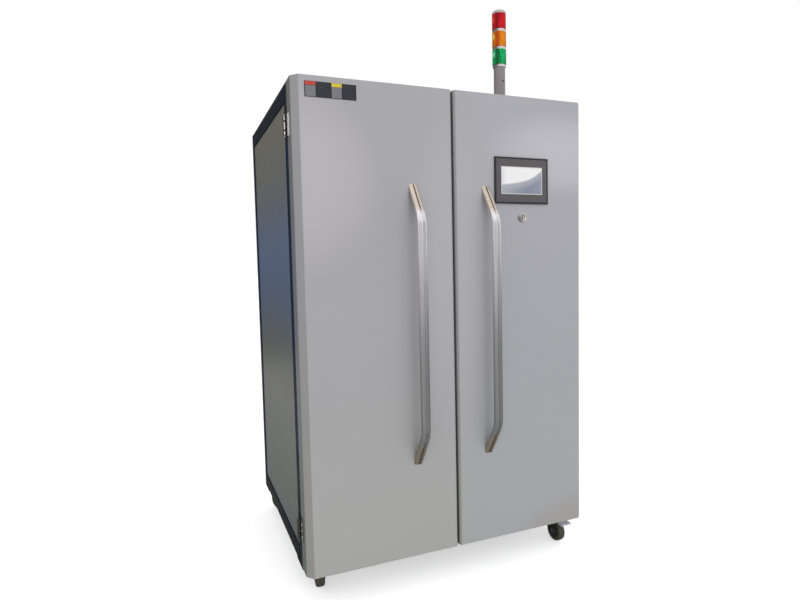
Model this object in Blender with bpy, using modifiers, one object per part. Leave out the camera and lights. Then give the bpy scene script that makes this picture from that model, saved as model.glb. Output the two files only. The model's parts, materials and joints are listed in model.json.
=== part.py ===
# Frit melting furnace: a two-door steel cabinet on swivel casters.
# The left door closes an insulated melting chamber with a crucible that drains into
# a quench tank. The right door carries the touch panel and closes the electrical bay.
# Units are metres, +Z is up, the floor is z = 0 and the doors face -Y.

import math

import bmesh
import bpy
from mathutils import Matrix, Vector

# Clearances that pieces share
SEAT = 0.0003
TURN_CLEARANCE = 0.0005
CUT_OVERRUN = 0.004
WELD_LAP = 0.001
VERTEX_MERGE = 0.000005

# Cabinet
CABINET_WIDTH = 0.982
CABINET_DEPTH = 0.800
BODY_HEIGHT = 1.430
CASTER_HEIGHT = 0.102
POST_WIDTH = 0.040
POST_DEPTH = 0.042
RAIL_HEIGHT = 0.050
CENTRE_POST_WIDTH = 0.040
SHEET = 0.002
PANEL_FLANGE = 0.020
PANEL_INSET = 0.002
REAR_PANEL_MARGIN = 0.003
DIVIDER_WIDTH = 0.020

# Doors
DOOR_DEPTH = 0.070
DOOR_BACK_GAP = 0.002
DOORS_GAP = 0.006
OUTER_CHAMFER_WIDTH = 0.020
OUTER_CHAMFER_DEPTH = 0.022
INNER_CHAMFER = 0.007

# Bow handles
HANDLE_WIDTH = 0.028
HANDLE_THICKNESS = 0.012
HANDLE_STANDOFF = 0.068
HANDLE_LENGTH = 0.854
HANDLE_STRAIGHT = 0.645
HANDLE_BEND_RADIUS = 0.100
LEFT_HANDLE_FROM_MIDDLE = 0.137
RIGHT_HANDLE_FROM_MIDDLE = 0.112

# Door hinges
HINGE_HEIGHT = 0.062
HINGE_FROM_EDGE = 0.127
HINGE_LEAF_WIDTH = 0.030
HINGE_LEAF_THICKNESS = 0.0025
HINGE_TONGUE_STEP = 0.0006
HINGE_BARREL_RADIUS = 0.006
HINGE_PIN_RADIUS = 0.003
HINGE_DOOR_KNUCKLE = 0.026

# Rating plate on the left door
PLATE_WIDTH = 0.149
PLATE_HEIGHT = 0.043
PLATE_THICKNESS = 0.001
PLATE_FROM_SIDE = 0.036
PLATE_FROM_TOP = 0.0385

# Touch panel, set toward the doors' meeting edge
PANEL_OFFSET = 0.004
PANEL_FROM_TOP = 0.267
BEZEL_WIDTH = 0.2004
BEZEL_HEIGHT = 0.1465
BEZEL_THICKNESS = 0.006
SCREEN_WIDTH = 0.154
SCREEN_HEIGHT = 0.0865
SCREEN_THICKNESS = 0.0025
SCREEN_RECESS = 0.0006
PANEL_BODY_INSET = 0.006
PANEL_BODY_DEPTH = 0.038

# Key switch
KEY_OFFSET = 0.001
KEY_FROM_TOP = 0.384
KEY_RING_RADIUS = 0.0145
KEY_RING_THICKNESS = 0.004
KEY_BARREL_RADIUS = 0.010
KEY_BARREL_LENGTH = 0.022
KEY_CORE_RADIUS = 0.0075
KEY_CORE_LENGTH = 0.016
KEY_CORE_STEP = 0.001
KEY_SLOT_WIDTH = 0.0022
KEY_SLOT_HEIGHT = 0.008
KEY_SLOT_DEPTH = 0.005
KEY_BLOCK_WIDTH = 0.030
KEY_BLOCK_HEIGHT = 0.040
KEY_BLOCK_DEPTH = 0.034

# Signal tower
TOWER_FROM_SIDE = 0.145
TOWER_FROM_FRONT = 0.286
TOWER_BODY_HEIGHT = 0.205
TOWER_BODY_RADIUS = 0.021
TOWER_FLANGE_RADIUS = 0.030
TOWER_FLANGE_HEIGHT = 0.005
LENS_RADIUS = 0.0255
LENS_HEIGHT = 0.055
LENS_RING_RADIUS = 0.0235
LENS_RING_HEIGHT = 0.008
TOWER_CAP_HEIGHT = 0.012

# Casters
CASTER_PLATE_SIZE = 0.082
CASTER_PLATE_THICKNESS = 0.005
CASTER_INSET_X = 0.062
CASTER_FRONT_INSET = 0.034
CASTER_REAR_INSET = 0.060
WHEEL_RADIUS = 0.036
WHEEL_WIDTH = 0.026
WHEEL_EDGE = 0.004
WHEEL_STEPS = 24
WHEEL_SIDE_GAP = 0.0015
WHEEL_TOP_GAP = 0.006
TRAIL = 0.032
STEM_RADIUS = 0.007
BOSS_RADIUS = 0.020
BOSS_HEIGHT = 0.009
FORK_PLATE = 0.003
FORK_FOOT = 0.011
AXLE_RADIUS = 0.004
PEDAL_PIN_RADIUS = 0.0025
PEDAL_HUB_RADIUS = 0.0055
PEDAL_REACH = 0.050
PEDAL_THICKNESS = 0.004
PEDAL_TOE_WIDTH = 0.042
PEDAL_TOE_LENGTH = 0.026

# Furnace
CASING_SIDE_GAP = 0.0205
CASING_REAR_GAP = 0.136
CASING_HEIGHT = 0.650
CASING_FROM_TOP = 0.180
CASING_SETBACK = 0.010
CASING_LEG = 0.030
CASING_LEG_INSET = 0.002
REAR_LINING = 0.140
FLOOR_LINING = 0.140
CHAMBER_WIDTH = 0.200
CHAMBER_HEIGHT = 0.320
DOOR_PAD_INSET = 0.010
DOOR_PAD_GAP = 0.001
CRUCIBLE_HEIGHT = 0.170
CRUCIBLE_TOP_RADIUS = 0.062
CRUCIBLE_FOOT_RADIUS = 0.048
CRUCIBLE_WALL = 0.008
CRUCIBLE_FLOOR = 0.014
CRUCIBLE_SETBACK = 0.010
OUTLET_RADIUS = 0.006
NOZZLE_RADIUS = 0.012
NOZZLE_LENGTH = 0.024
DISCHARGE_BORE = 0.015
DISCHARGE_RADIUS = 0.024
DISCHARGE_DROP = 0.012
ELEMENT_WALL_GAP = 0.018
ELEMENT_RADIUS = 0.0045
ELEMENT_COUNT = 3
ELEMENT_END_GAP = 0.0895
ELEMENT_LEG_SHARE = 0.6
ELEMENT_FLOOR_GAP = 0.040
ELEMENT_TERMINAL = 0.032
ELEMENT_SLOT_WIDTH = 0.016
ELEMENT_SLOT_MARGIN = 0.006
HOLDER_WIDTH = 0.030
HOLDER_THICKNESS = 0.014
HOLDER_MARGIN = 0.014
STRAP_WIDTH = 0.012
STRAP_THICKNESS = 0.005
THERMOCOUPLE_RADIUS = 0.004
THERMOCOUPLE_REACH = 0.035
THERMOCOUPLE_BELOW_ROOF = 0.050
THERMOCOUPLE_HEAD_RADIUS = 0.018
THERMOCOUPLE_HEAD_LENGTH = 0.034

# Quench tank and its drip tray
TANK_SIDE_GAP = 0.023
TANK_END_GAP = 0.028
TANK_HEIGHT = 0.250
TRAY_MARGIN = 0.010
TRAY_HEIGHT = 0.018

# Electrical bay
BACKPLATE_SIDE_GAP = 0.0205
BACKPLATE_HEIGHT = 1.180
BACKPLATE_FROM_REAR = 0.130
TRANSFORMER_WIDTH = 0.210
TRANSFORMER_DEPTH = 0.120
TRANSFORMER_HEIGHT = 0.190
TRANSFORMER_YOKE = 0.045
TRANSFORMER_FROM_FRONT = 0.330
COIL_BULGE = 0.028
COIL_GAP = 0.010
COIL_COUNT = 3
CONTROLLER_WIDTH = 0.120
CONTROLLER_DEPTH = 0.110
CONTROLLER_HEIGHT = 0.170
CONTROLLER_FROM_BASE = 0.420
CONTROLLER_OFFSET_X = -0.090
FIN_GAP = 0.009
FIN_COUNT = 6
FIN_DEPTH = 0.050
BREAKER_WIDTH = 0.090
BREAKER_DEPTH = 0.070
BREAKER_HEIGHT = 0.130
BREAKER_FROM_BASE = 0.780
BREAKER_OFFSET_X = -0.090
BREAKER_SLOT_WIDTH = 0.016
BREAKER_SLOT_HEIGHT = 0.040
BREAKER_SLOT_DEPTH = 0.022
LEVER_WIDTH = 0.012
LEVER_HUB_RADIUS = 0.007
LEVER_PIN_RADIUS = 0.0025
LEVER_REACH = 0.022
LEVER_THICKNESS = 0.008
FAN_SIZE = 0.120
FAN_DEPTH = 0.038
FAN_BORE_RADIUS = 0.056
FAN_HUB_RADIUS = 0.020
FAN_MOTOR_DEPTH = 0.008
FAN_STRUT_WIDTH = 0.007
FAN_BLADE_RADIUS = 0.053
FAN_BLADE_THICKNESS = 0.0025
FAN_BLADE_WIDTH = 0.026
FAN_BLADE_COUNT = 5
FAN_OFFSET = 0.0095
FAN_FROM_TOP = 0.180
GLAND_FROM_SIDE = 0.161
GLAND_FROM_BOTTOM = 0.130
GLAND_BORE_RADIUS = 0.009
GLAND_THREAD_RADIUS = 0.0125
GLAND_FLANGE_RADIUS = 0.017
GLAND_FLANGE_THICKNESS = 0.006
GLAND_DOME_RADIUS = 0.0145
GLAND_DOME_LENGTH = 0.020
GLAND_TAIL = 0.012

# Rest angles, in degrees
FRONT_RIGHT_TRAIL_ANGLE = 272
FRONT_LEFT_TRAIL_ANGLE = 86
REAR_LEFT_TRAIL_ANGLE = 117
REAR_RIGHT_TRAIL_ANGLE = 75
FAN_BLADE_PITCH = 35
CASTER_PEDAL_SLOPE = 5
BREAKER_OFF_TILT = 25

# Places that follow from the sizes above. The handles reach further out than the cable
# gland, so the cabinet is shifted to put y = 0 midway between the two.
handle_reach = SEAT + HANDLE_STANDOFF
gland_reach = 2 * SEAT + SHEET + GLAND_FLANGE_THICKNESS + GLAND_DOME_LENGTH
depth_shift = (handle_reach - gland_reach) / 2
half_width = CABINET_WIDTH / 2
front_y = depth_shift - CABINET_DEPTH / 2
rear_y = depth_shift + CABINET_DEPTH / 2
frame_front_y = front_y + DOOR_DEPTH + DOOR_BACK_GAP
body_bottom = CASTER_HEIGHT
body_top = CASTER_HEIGHT + BODY_HEIGHT
door_centre_z = (body_bottom + body_top) / 2
bay_half_width = half_width - POST_WIDTH
bay_front_y = frame_front_y + POST_DEPTH
bay_rear_y = rear_y - POST_DEPTH
floor_top = body_bottom + RAIL_HEIGHT
roof_underside = body_top - PANEL_INSET - SHEET
left_bay_x = -(bay_half_width + DIVIDER_WIDTH / 2) / 2
right_bay_x = -left_bay_x
bay_width = bay_half_width - DIVIDER_WIDTH / 2
right_door_x = (half_width + DOORS_GAP / 2) / 2
casing_width = bay_width - 2 * CASING_SIDE_GAP
casing_front_y = bay_front_y + CASING_SETBACK
casing_rear_y = rear_y - CASING_REAR_GAP
casing_top = body_top - CASING_FROM_TOP
casing_bottom = casing_top - CASING_HEIGHT
lining_top = casing_top - SHEET - SEAT
lining_bottom = casing_bottom + SHEET + SEAT
half_chamber = CHAMBER_WIDTH / 2
chamber_floor = lining_bottom + FLOOR_LINING
chamber_roof = chamber_floor + CHAMBER_HEIGHT
chamber_rear_y = casing_rear_y - REAR_LINING
chamber_depth = chamber_rear_y - casing_front_y
crucible_y = (casing_front_y + chamber_rear_y) / 2 + CRUCIBLE_SETBACK
element_offset = half_chamber - ELEMENT_WALL_GAP
element_pitch = (chamber_depth - 2 * ELEMENT_END_GAP) / (ELEMENT_COUNT - 1 + ELEMENT_LEG_SHARE)
element_legs = element_pitch * ELEMENT_LEG_SHARE
tank_width = casing_width - 2 * (CASING_LEG_INSET + CASING_LEG + TANK_SIDE_GAP)
tank_depth = casing_rear_y - casing_front_y - 2 * (CASING_LEG_INSET + CASING_LEG + TANK_END_GAP)
hinge_x = half_width + SEAT + HINGE_BARREL_RADIUS
hinge_y = frame_front_y - DOOR_BACK_GAP / 2
backplate_y = rear_y - BACKPLATE_FROM_REAR


def clear_scene():
    for obj in list(bpy.data.objects):
        bpy.data.objects.remove(obj, do_unlink=True)


def make_collection(name):
    collection = bpy.data.collections.get(name) or bpy.data.collections.new(name)
    if collection.name not in bpy.context.scene.collection.children:
        bpy.context.scene.collection.children.link(collection)
    return collection


def move_to(obj, collection):
    for owner in list(obj.users_collection):
        owner.objects.unlink(obj)
    collection.objects.link(obj)


def make_material(name, colour, roughness, metallic):
    material = bpy.data.materials.new(name)
    material.use_nodes = True
    shader = material.node_tree.nodes["Principled BSDF"]
    shader.inputs["Base Color"].default_value = (*colour, 1)
    shader.inputs["Roughness"].default_value = roughness
    shader.inputs["Metallic"].default_value = metallic
    material.diffuse_color = (*colour, 1)
    return material


def piece(obj, name, look):
    """Name a finished solid and give it its own material."""
    colour, roughness, metallic = look
    obj.name = name
    obj.data.name = name
    obj.data.materials.clear()
    obj.data.materials.append(make_material(name, colour, roughness, metallic))
    move_to(obj, part_collection)
    return obj


def joint_empty(name, location, turn=0, parent=None):
    empty = bpy.data.objects.new(name, None)
    empty.location = location
    empty.rotation_euler = (0, 0, turn)
    empty.parent = parent
    part_collection.objects.link(empty)
    return empty


def carry(empty, *pieces):
    """Parent pieces that were built in world places to the empty on their joint's axis."""
    bpy.context.view_layer.update()
    for obj in pieces:
        obj.parent = empty
        obj.matrix_parent_inverse = empty.matrix_world.inverted()


def box(low, high):
    """A box between two corners, with its origin at its centre."""
    low = Vector(low)
    high = Vector(high)
    bpy.ops.mesh.primitive_cube_add(size=1, location=(low + high) / 2)
    obj = bpy.context.object
    obj.data.transform(Matrix.Diagonal((*(high - low), 1)))
    return obj


def box_about(centre, size):
    centre = Vector(centre)
    half = Vector(size) / 2
    return box(centre - half, centre + half)


def cylinder(radius, length, centre, axis="Z", sides=24):
    turns = {"X": (0, math.pi / 2, 0), "Y": (math.pi / 2, 0, 0), "Z": (0, 0, 0)}
    bpy.ops.mesh.primitive_cylinder_add(
        vertices=sides, radius=radius, depth=length, location=centre, rotation=turns[axis])
    return bpy.context.object


def pan(low, high, open_side, sheet):
    """A folded sheet-metal box with one side open, such as a cover or a tank."""
    obj = box(low, high)
    mesh = bmesh.new()
    mesh.from_mesh(obj.data)
    open_side = Vector(open_side)
    gone = [face for face in mesh.faces if face.normal.dot(open_side) > 0.9]
    bmesh.ops.delete(mesh, geom=gone, context="FACES")
    mesh.to_mesh(obj.data)
    mesh.free()
    solidify = obj.modifiers.new("sheet", "SOLIDIFY")
    solidify.thickness = sheet
    solidify.offset = -1
    solidify.use_even_offset = True
    return obj


def turned(profile, centre=(0, 0, 0), axis="Z", steps=24):
    """A solid of revolution; the profile runs down the outer side and back up the inner one."""
    closed = all(radius > 0 for radius, height in profile)
    points = [(radius, 0, height) for radius, height in profile]
    edges = [(index, index + 1) for index in range(len(points) - 1)]
    if closed:
        edges.append((len(points) - 1, 0))
    mesh = bpy.data.meshes.new("profile")
    mesh.from_pydata(points, edges, [])
    obj = bpy.data.objects.new("turned", mesh)
    bpy.context.scene.collection.objects.link(obj)
    screw = obj.modifiers.new("turn", "SCREW")
    screw.axis = "Z"
    screw.steps = steps
    screw.render_steps = steps
    screw.use_merge_vertices = True
    screw.merge_threshold = VERTEX_MERGE
    screw.use_smooth_shade = False
    turns = {"Z": (0, 0, 0), "Y": (-math.pi / 2, 0, 0), "-Y": (math.pi / 2, 0, 0)}
    obj.rotation_euler = turns[axis]
    obj.location = centre
    return obj


def mesh_from_curve(curve_object):
    depsgraph = bpy.context.evaluated_depsgraph_get()
    mesh = bpy.data.meshes.new_from_object(curve_object.evaluated_get(depsgraph))
    cleaner = bmesh.new()
    cleaner.from_mesh(mesh)
    bmesh.ops.remove_doubles(cleaner, verts=cleaner.verts, dist=VERTEX_MERGE)
    bmesh.ops.recalc_face_normals(cleaner, faces=cleaner.faces)
    cleaner.to_mesh(mesh)
    cleaner.free()
    obj = bpy.data.objects.new("solid", mesh)
    obj.matrix_world = curve_object.matrix_world
    bpy.context.scene.collection.objects.link(obj)
    bpy.data.objects.remove(curve_object, do_unlink=True)
    return obj


def curve_object(points, cyclic, dimensions):
    curve = bpy.data.curves.new("outline", "CURVE")
    curve.dimensions = dimensions
    spline = curve.splines.new("POLY")
    spline.points.add(len(points) - 1)
    for target, point in zip(spline.points, points):
        target.co = (*point, 1) if len(point) == 3 else (*point, 0, 1)
    spline.use_cyclic_u = cyclic
    obj = bpy.data.objects.new("outline", curve)
    bpy.context.scene.collection.objects.link(obj)
    return obj


def prism(outline, thickness, centre, turn=(0, 0, 0)):
    """A flat outline extruded to both sides of its plane."""
    obj = curve_object(outline, True, "2D")
    obj.data.fill_mode = "BOTH"
    obj.data.extrude = thickness / 2
    obj.location = centre
    obj.rotation_euler = turn
    bpy.context.view_layer.update()
    return mesh_from_curve(obj)


# Turns that stand an outline up: its X and Y become world Y and Z, or world X and Z
ACROSS_X = (math.pi / 2, 0, math.pi / 2)
ACROSS_Y = (math.pi / 2, 0, 0)


def rod(points, radius):
    obj = curve_object(points, False, "3D")
    obj.data.bevel_depth = radius
    obj.data.bevel_resolution = 1
    obj.data.use_fill_caps = True
    bpy.context.view_layer.update()
    solid = mesh_from_curve(obj)
    triangles = bmesh.new()
    triangles.from_mesh(solid.data)
    bmesh.ops.triangulate(triangles, faces=triangles.faces)
    triangles.to_mesh(solid.data)
    triangles.free()
    return solid


def combine(target, operation, *tools):
    """Cut tools out of a solid or join them to it."""
    for tool in tools:
        move_to(tool, cutter_collection)
        tool.hide_render = True
        tool.display_type = "WIRE"
        boolean = target.modifiers.new(operation.lower(), "BOOLEAN")
        boolean.operation = operation
        boolean.solver = "EXACT"
        boolean.object = tool
    return target


def cut(target, *tools):
    return combine(target, "DIFFERENCE", *tools)


def join(target, *tools):
    return combine(target, "UNION", *tools)


def grown(low, high, amount, axes="XYZ"):
    """Corners of a box made larger by an amount along the named axes."""
    grow = Vector([amount if axis in axes else 0 for axis in "XYZ"])
    return Vector(low) - grow, Vector(high) + grow


def spread(count):
    """Steps either side of the middle: -1, 0, 1 for three."""
    return [index - (count - 1) / 2 for index in range(count)]


# Looks: colour, roughness, metallic
NAVY_PAINT = ((0.018, 0.028, 0.045), 0.35, 0.2)
GREY_PAINT = ((0.42, 0.42, 0.44), 0.45, 0.1)
PANEL_PAINT = ((0.16, 0.17, 0.16), 0.25, 0.3)
BARE_STEEL = ((0.50, 0.50, 0.50), 0.35, 1.0)
ZINC = ((0.55, 0.56, 0.58), 0.30, 1.0)
CHROME = ((0.80, 0.80, 0.82), 0.08, 1.0)
ALUMINIUM = ((0.72, 0.73, 0.75), 0.28, 1.0)
BLACK_RUBBER = ((0.03, 0.028, 0.025), 0.60, 0.0)
BLACK_PLASTIC = ((0.04, 0.04, 0.042), 0.45, 0.0)
GREY_PLASTIC = ((0.20, 0.20, 0.19), 0.50, 0.0)
SCREEN_GLASS = ((0.30, 0.34, 0.38), 0.05, 0.0)
FIBRE = ((0.85, 0.82, 0.76), 0.90, 0.0)
FIRED_CLAY = ((0.62, 0.52, 0.42), 0.80, 0.0)
HOT_ROD = ((0.16, 0.15, 0.15), 0.55, 0.3)
STAINLESS = ((0.60, 0.60, 0.60), 0.30, 1.0)
WHITE_PLASTIC = ((0.75, 0.75, 0.75), 0.40, 0.0)
GREEN_LENS = ((0.00, 0.35, 0.12), 0.15, 0.0)
AMBER_LENS = ((0.90, 0.25, 0.01), 0.15, 0.0)
RED_LENS = ((0.70, 0.01, 0.02), 0.15, 0.0)
TOWER_GREY = ((0.45, 0.42, 0.42), 0.35, 0.5)


def side_frame(name, side):
    """A welded ring of posts and rails, with the plates that the two casters hang from."""
    outer_x = side * half_width
    inner_x = side * bay_half_width
    low_x, high_x = sorted((outer_x, inner_x))
    frame = box((low_x, frame_front_y, body_bottom), (high_x, rear_y, body_top))
    window = grown(
        (low_x, bay_front_y, floor_top), (high_x, bay_rear_y, body_top - RAIL_HEIGHT),
        CUT_OVERRUN, "X")
    cut(frame, box(*window))
    plate_x = side * (half_width - CASTER_PLATE_SIZE / 2)
    plate_z = body_bottom - (CASTER_PLATE_THICKNESS - WELD_LAP) / 2
    front_plate_y = frame_front_y + CASTER_PLATE_SIZE / 2
    rear_plate_y = rear_y - CASTER_PLATE_SIZE / 2
    for plate_y in (front_plate_y, rear_plate_y):
        plate_size = (CASTER_PLATE_SIZE, CASTER_PLATE_SIZE, CASTER_PLATE_THICKNESS + WELD_LAP)
        join(frame, box_about((plate_x, plate_y, plate_z), plate_size))
    for swivel_y in (front_swivel_y, rear_swivel_y):
        bore_length = CASTER_PLATE_THICKNESS + WELD_LAP + CUT_OVERRUN
        bore_centre = (side * swivel_x, swivel_y, plate_z)
        cut(frame, cylinder(STEM_RADIUS + TURN_CLEARANCE, bore_length, bore_centre))
    return piece(frame, name, NAVY_PAINT)


def cross_frame(name, near_y):
    """Top rail, bottom rail and centre post that tie the side frames together."""
    far_y = near_y + POST_DEPTH
    reach = bay_half_width - SEAT
    rail_bottom = body_bottom + WELD_LAP + SEAT
    frame = box((-reach, near_y, body_top - RAIL_HEIGHT), (reach, far_y, body_top))
    bottom_rail = box((-reach, near_y, rail_bottom), (reach, far_y, floor_top))
    post_low = (-CENTRE_POST_WIDTH / 2, near_y, floor_top - WELD_LAP)
    post_high = (CENTRE_POST_WIDTH / 2, far_y, body_top - RAIL_HEIGHT + WELD_LAP)
    join(frame, box(post_low, post_high), bottom_rail)
    return piece(frame, name, NAVY_PAINT)


def side_panel(name, side):
    outer_x = side * (half_width - PANEL_INSET)
    inner_x = outer_x - side * PANEL_FLANGE
    low_x, high_x = sorted((outer_x, inner_x))
    low = (low_x, bay_front_y + SEAT, floor_top + SEAT)
    high = (high_x, bay_rear_y - SEAT, body_top - RAIL_HEIGHT - SEAT)
    return piece(pan(low, high, (-side, 0, 0), SHEET), name, PANEL_PAINT)


def rear_panel():
    reach = half_width - REAR_PANEL_MARGIN
    inner_y = rear_y + SEAT
    low = (-reach, inner_y, body_bottom + REAR_PANEL_MARGIN)
    high = (reach, inner_y + SHEET, body_top - REAR_PANEL_MARGIN)
    panel = box(low, high)
    hole_length = SHEET + CUT_OVERRUN
    hole_y = inner_y + SHEET / 2
    fan_hole = cylinder(FAN_BORE_RADIUS, hole_length, (fan_x, hole_y, fan_z), "Y")
    gland_hole_radius = GLAND_THREAD_RADIUS + SEAT
    gland_hole = cylinder(gland_hole_radius, hole_length, (gland_x, hole_y, gland_z), "Y")
    cut(panel, fan_hole, gland_hole)
    return piece(panel, "rear_panel", PANEL_PAINT)


def top_panel():
    reach = bay_half_width - SEAT
    top = body_top - PANEL_INSET
    low = (-reach, bay_front_y + SEAT, top - PANEL_FLANGE)
    high = (reach, bay_rear_y - SEAT, top)
    return piece(pan(low, high, (0, 0, -1), SHEET), "top_panel", NAVY_PAINT)


def floor_plate():
    reach = bay_half_width - SEAT
    low = (-reach, bay_front_y + SEAT, floor_top - PANEL_FLANGE)
    high = (reach, bay_rear_y - SEAT, floor_top)
    return piece(pan(low, high, (0, 0, -1), SHEET), "floor_plate", NAVY_PAINT)


def divider_wall():
    """The wall between the furnace bay and the electrical bay, clear of the roof's flanges."""
    inset = SEAT + SHEET + SEAT
    low = (-DIVIDER_WIDTH / 2, bay_front_y + inset, floor_top + SEAT)
    high = (DIVIDER_WIDTH / 2, bay_rear_y - inset, roof_underside - SEAT)
    return piece(pan(low, high, (1, 0, 0), SHEET), "divider_wall", BARE_STEEL)


def door_outline(side, inset):
    """A door's section seen from above, shrunk by an inset on the sides and the front."""
    hinge_side = side * (half_width - inset)
    gap_side = side * (DOORS_GAP / 2 + inset)
    front = front_y + inset
    back = front_y + DOOR_DEPTH + (CUT_OVERRUN if inset else 0)
    return [
        (hinge_side, back),
        (hinge_side, front_y + OUTER_CHAMFER_DEPTH),
        (side * (half_width - OUTER_CHAMFER_WIDTH), front),
        (side * (DOORS_GAP / 2 + INNER_CHAMFER), front),
        (gap_side, front_y + INNER_CHAMFER),
        (gap_side, back),
    ]


def door_shell(side):
    """A folded door pan, open at the back, with bevelled front edges."""
    centre = (0, 0, door_centre_z)
    shell = prism(door_outline(side, 0), BODY_HEIGHT, centre)
    return cut(shell, prism(door_outline(side, SHEET), BODY_HEIGHT - 2 * SHEET, centre))


def left_door():
    return piece(door_shell(-1), "left_door", GREY_PAINT)


def right_door():
    door = door_shell(1)
    skin_y = front_y + SHEET / 2
    hole_depth = SHEET + CUT_OVERRUN
    body_width = BEZEL_WIDTH - 2 * PANEL_BODY_INSET + 2 * SEAT
    body_height = BEZEL_HEIGHT - 2 * PANEL_BODY_INSET + 2 * SEAT
    panel_hole = box_about((panel_x, skin_y, panel_z), (body_width, hole_depth, body_height))
    key_hole = cylinder(KEY_BARREL_RADIUS + SEAT, hole_depth, (key_x, skin_y, key_z), "Y")
    cut(door, panel_hole, key_hole)
    return piece(door, "right_door", GREY_PAINT)


def rounded_path(points, radius, steps):
    """A path whose inner corners are arcs of a radius."""
    path = [Vector(points[0])]
    for before, corner, after in zip(points, points[1:], points[2:]):
        before, corner, after = Vector(before), Vector(corner), Vector(after)
        into = (corner - before).normalized()
        out = (after - corner).normalized()
        bend = into.angle(out)
        start = corner - into * radius * math.tan(bend / 2)
        inward = (out - into).normalized()
        centre = corner + inward * radius / math.cos(bend / 2)
        arm = start - centre
        turn = math.copysign(bend, into.x * out.y - into.y * out.x)
        for step in range(steps + 1):
            path.append(centre + Matrix.Rotation(turn * step / steps, 2) @ arm)
    path.append(Vector(points[-1]))
    return path


def handle_outline():
    """The bow handle from the side: X points into the door, Y is height above its middle."""
    half_length = HANDLE_LENGTH / 2
    half_straight = HANDLE_STRAIGHT / 2
    outer = [
        (0, half_length), (-HANDLE_STANDOFF, half_straight),
        (-HANDLE_STANDOFF, -half_straight), (0, -half_length)]
    slope = Vector((HANDLE_STANDOFF, half_length - half_straight))
    end_cut = HANDLE_THICKNESS * slope.length / slope.x
    bend_shift = HANDLE_THICKNESS * (slope.length - slope.y) / slope.x
    inner_stand = HANDLE_STANDOFF - HANDLE_THICKNESS
    inner_straight = half_straight - bend_shift
    inner = [
        (0, half_length - end_cut), (-inner_stand, inner_straight),
        (-inner_stand, -inner_straight), (0, end_cut - half_length)]
    outer_path = rounded_path(outer, HANDLE_BEND_RADIUS, 4)
    inner_path = rounded_path(inner, HANDLE_BEND_RADIUS - HANDLE_THICKNESS, 4)
    return [tuple(point) for point in outer_path + inner_path[::-1]]


def bow_handle(name, centre_x):
    centre = (centre_x, front_y - SEAT, door_centre_z)
    handle = prism(handle_outline(), HANDLE_WIDTH, centre, ACROSS_X)
    return piece(handle, name, ALUMINIUM)


def hinge_leaf(name, side, centre_z, on_door):
    """One leaf of a butt hinge; the frame's leaf holds the pin and the two outer knuckles."""
    toward = -1 if on_door else 1
    barrel_clear = HINGE_BARREL_RADIUS + TURN_CLEARANCE
    near_x = side * (half_width + SEAT)
    far_x = side * (half_width + SEAT + HINGE_LEAF_THICKNESS)
    low_x, high_x = sorted((near_x, far_x))
    flat_near, flat_far = hinge_y + toward * barrel_clear, hinge_y + toward * HINGE_LEAF_WIDTH
    low_y, high_y = sorted((flat_near, flat_far))
    half_height = HINGE_HEIGHT / 2
    half_knuckle = HINGE_DOOR_KNUCKLE / 2
    leaf = box((low_x, low_y, centre_z - half_height), (high_x, high_y, centre_z + half_height))
    if on_door:
        spans = [(-half_knuckle + SEAT, half_knuckle - SEAT)]
    else:
        spans = [(half_knuckle, half_height), (-half_height, -half_knuckle)]
    tongue_y = sorted((hinge_y, flat_near + toward * WELD_LAP))
    barrel = (side * hinge_x, hinge_y)
    for low, high in spans:
        tongue_low = Vector((low_x, tongue_y[0], centre_z + low))
        tongue_high = Vector((high_x, tongue_y[1], centre_z + high))
        tongue = grown(tongue_low, tongue_high, -HINGE_TONGUE_STEP, "XZ")
        knuckle_centre = (*barrel, centre_z + (low + high) / 2)
        join(leaf, box(*tongue), cylinder(HINGE_BARREL_RADIUS, high - low, knuckle_centre, sides=16))
    if on_door:
        pin_hole = HINGE_PIN_RADIUS + TURN_CLEARANCE
        cut(leaf, cylinder(pin_hole, HINGE_DOOR_KNUCKLE + CUT_OVERRUN, (*barrel, centre_z), sides=16))
    else:
        pin_length = HINGE_DOOR_KNUCKLE + 2 * WELD_LAP
        join(leaf, cylinder(HINGE_PIN_RADIUS, pin_length, (*barrel, centre_z), sides=16))
    return piece(leaf, name, CHROME)


def rating_plate():
    outer_y = front_y - SEAT - PLATE_THICKNESS / 2
    centre = (plate_x, outer_y, body_top - PLATE_FROM_TOP)
    plate = box_about(centre, (PLATE_WIDTH, PLATE_THICKNESS, PLATE_HEIGHT))
    return piece(plate, "rating_plate", GREY_PLASTIC)


def touch_panel_housing():
    """The touch panel's bezel in front of the door and its body behind the cut-out."""
    bezel_y = front_y - SEAT - BEZEL_THICKNESS / 2
    housing = box_about((panel_x, bezel_y, panel_z), (BEZEL_WIDTH, BEZEL_THICKNESS, BEZEL_HEIGHT))
    body_front = bezel_y
    body_back = front_y + PANEL_BODY_DEPTH
    body_width = BEZEL_WIDTH - 2 * PANEL_BODY_INSET
    body_height = BEZEL_HEIGHT - 2 * PANEL_BODY_INSET
    body_centre = (panel_x, (body_front + body_back) / 2, panel_z)
    join(housing, box_about(body_centre, (body_width, body_back - body_front, body_height)))
    recess_depth = SCREEN_RECESS + SCREEN_THICKNESS + SEAT
    bezel_front = bezel_y - BEZEL_THICKNESS / 2
    recess_centre = (panel_x, bezel_front + (recess_depth - CUT_OVERRUN) / 2, panel_z)
    recess_size = (SCREEN_WIDTH, recess_depth + CUT_OVERRUN, SCREEN_HEIGHT)
    cut(housing, box_about(recess_centre, recess_size))
    return piece(housing, "touch_panel_housing", BLACK_PLASTIC)


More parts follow.
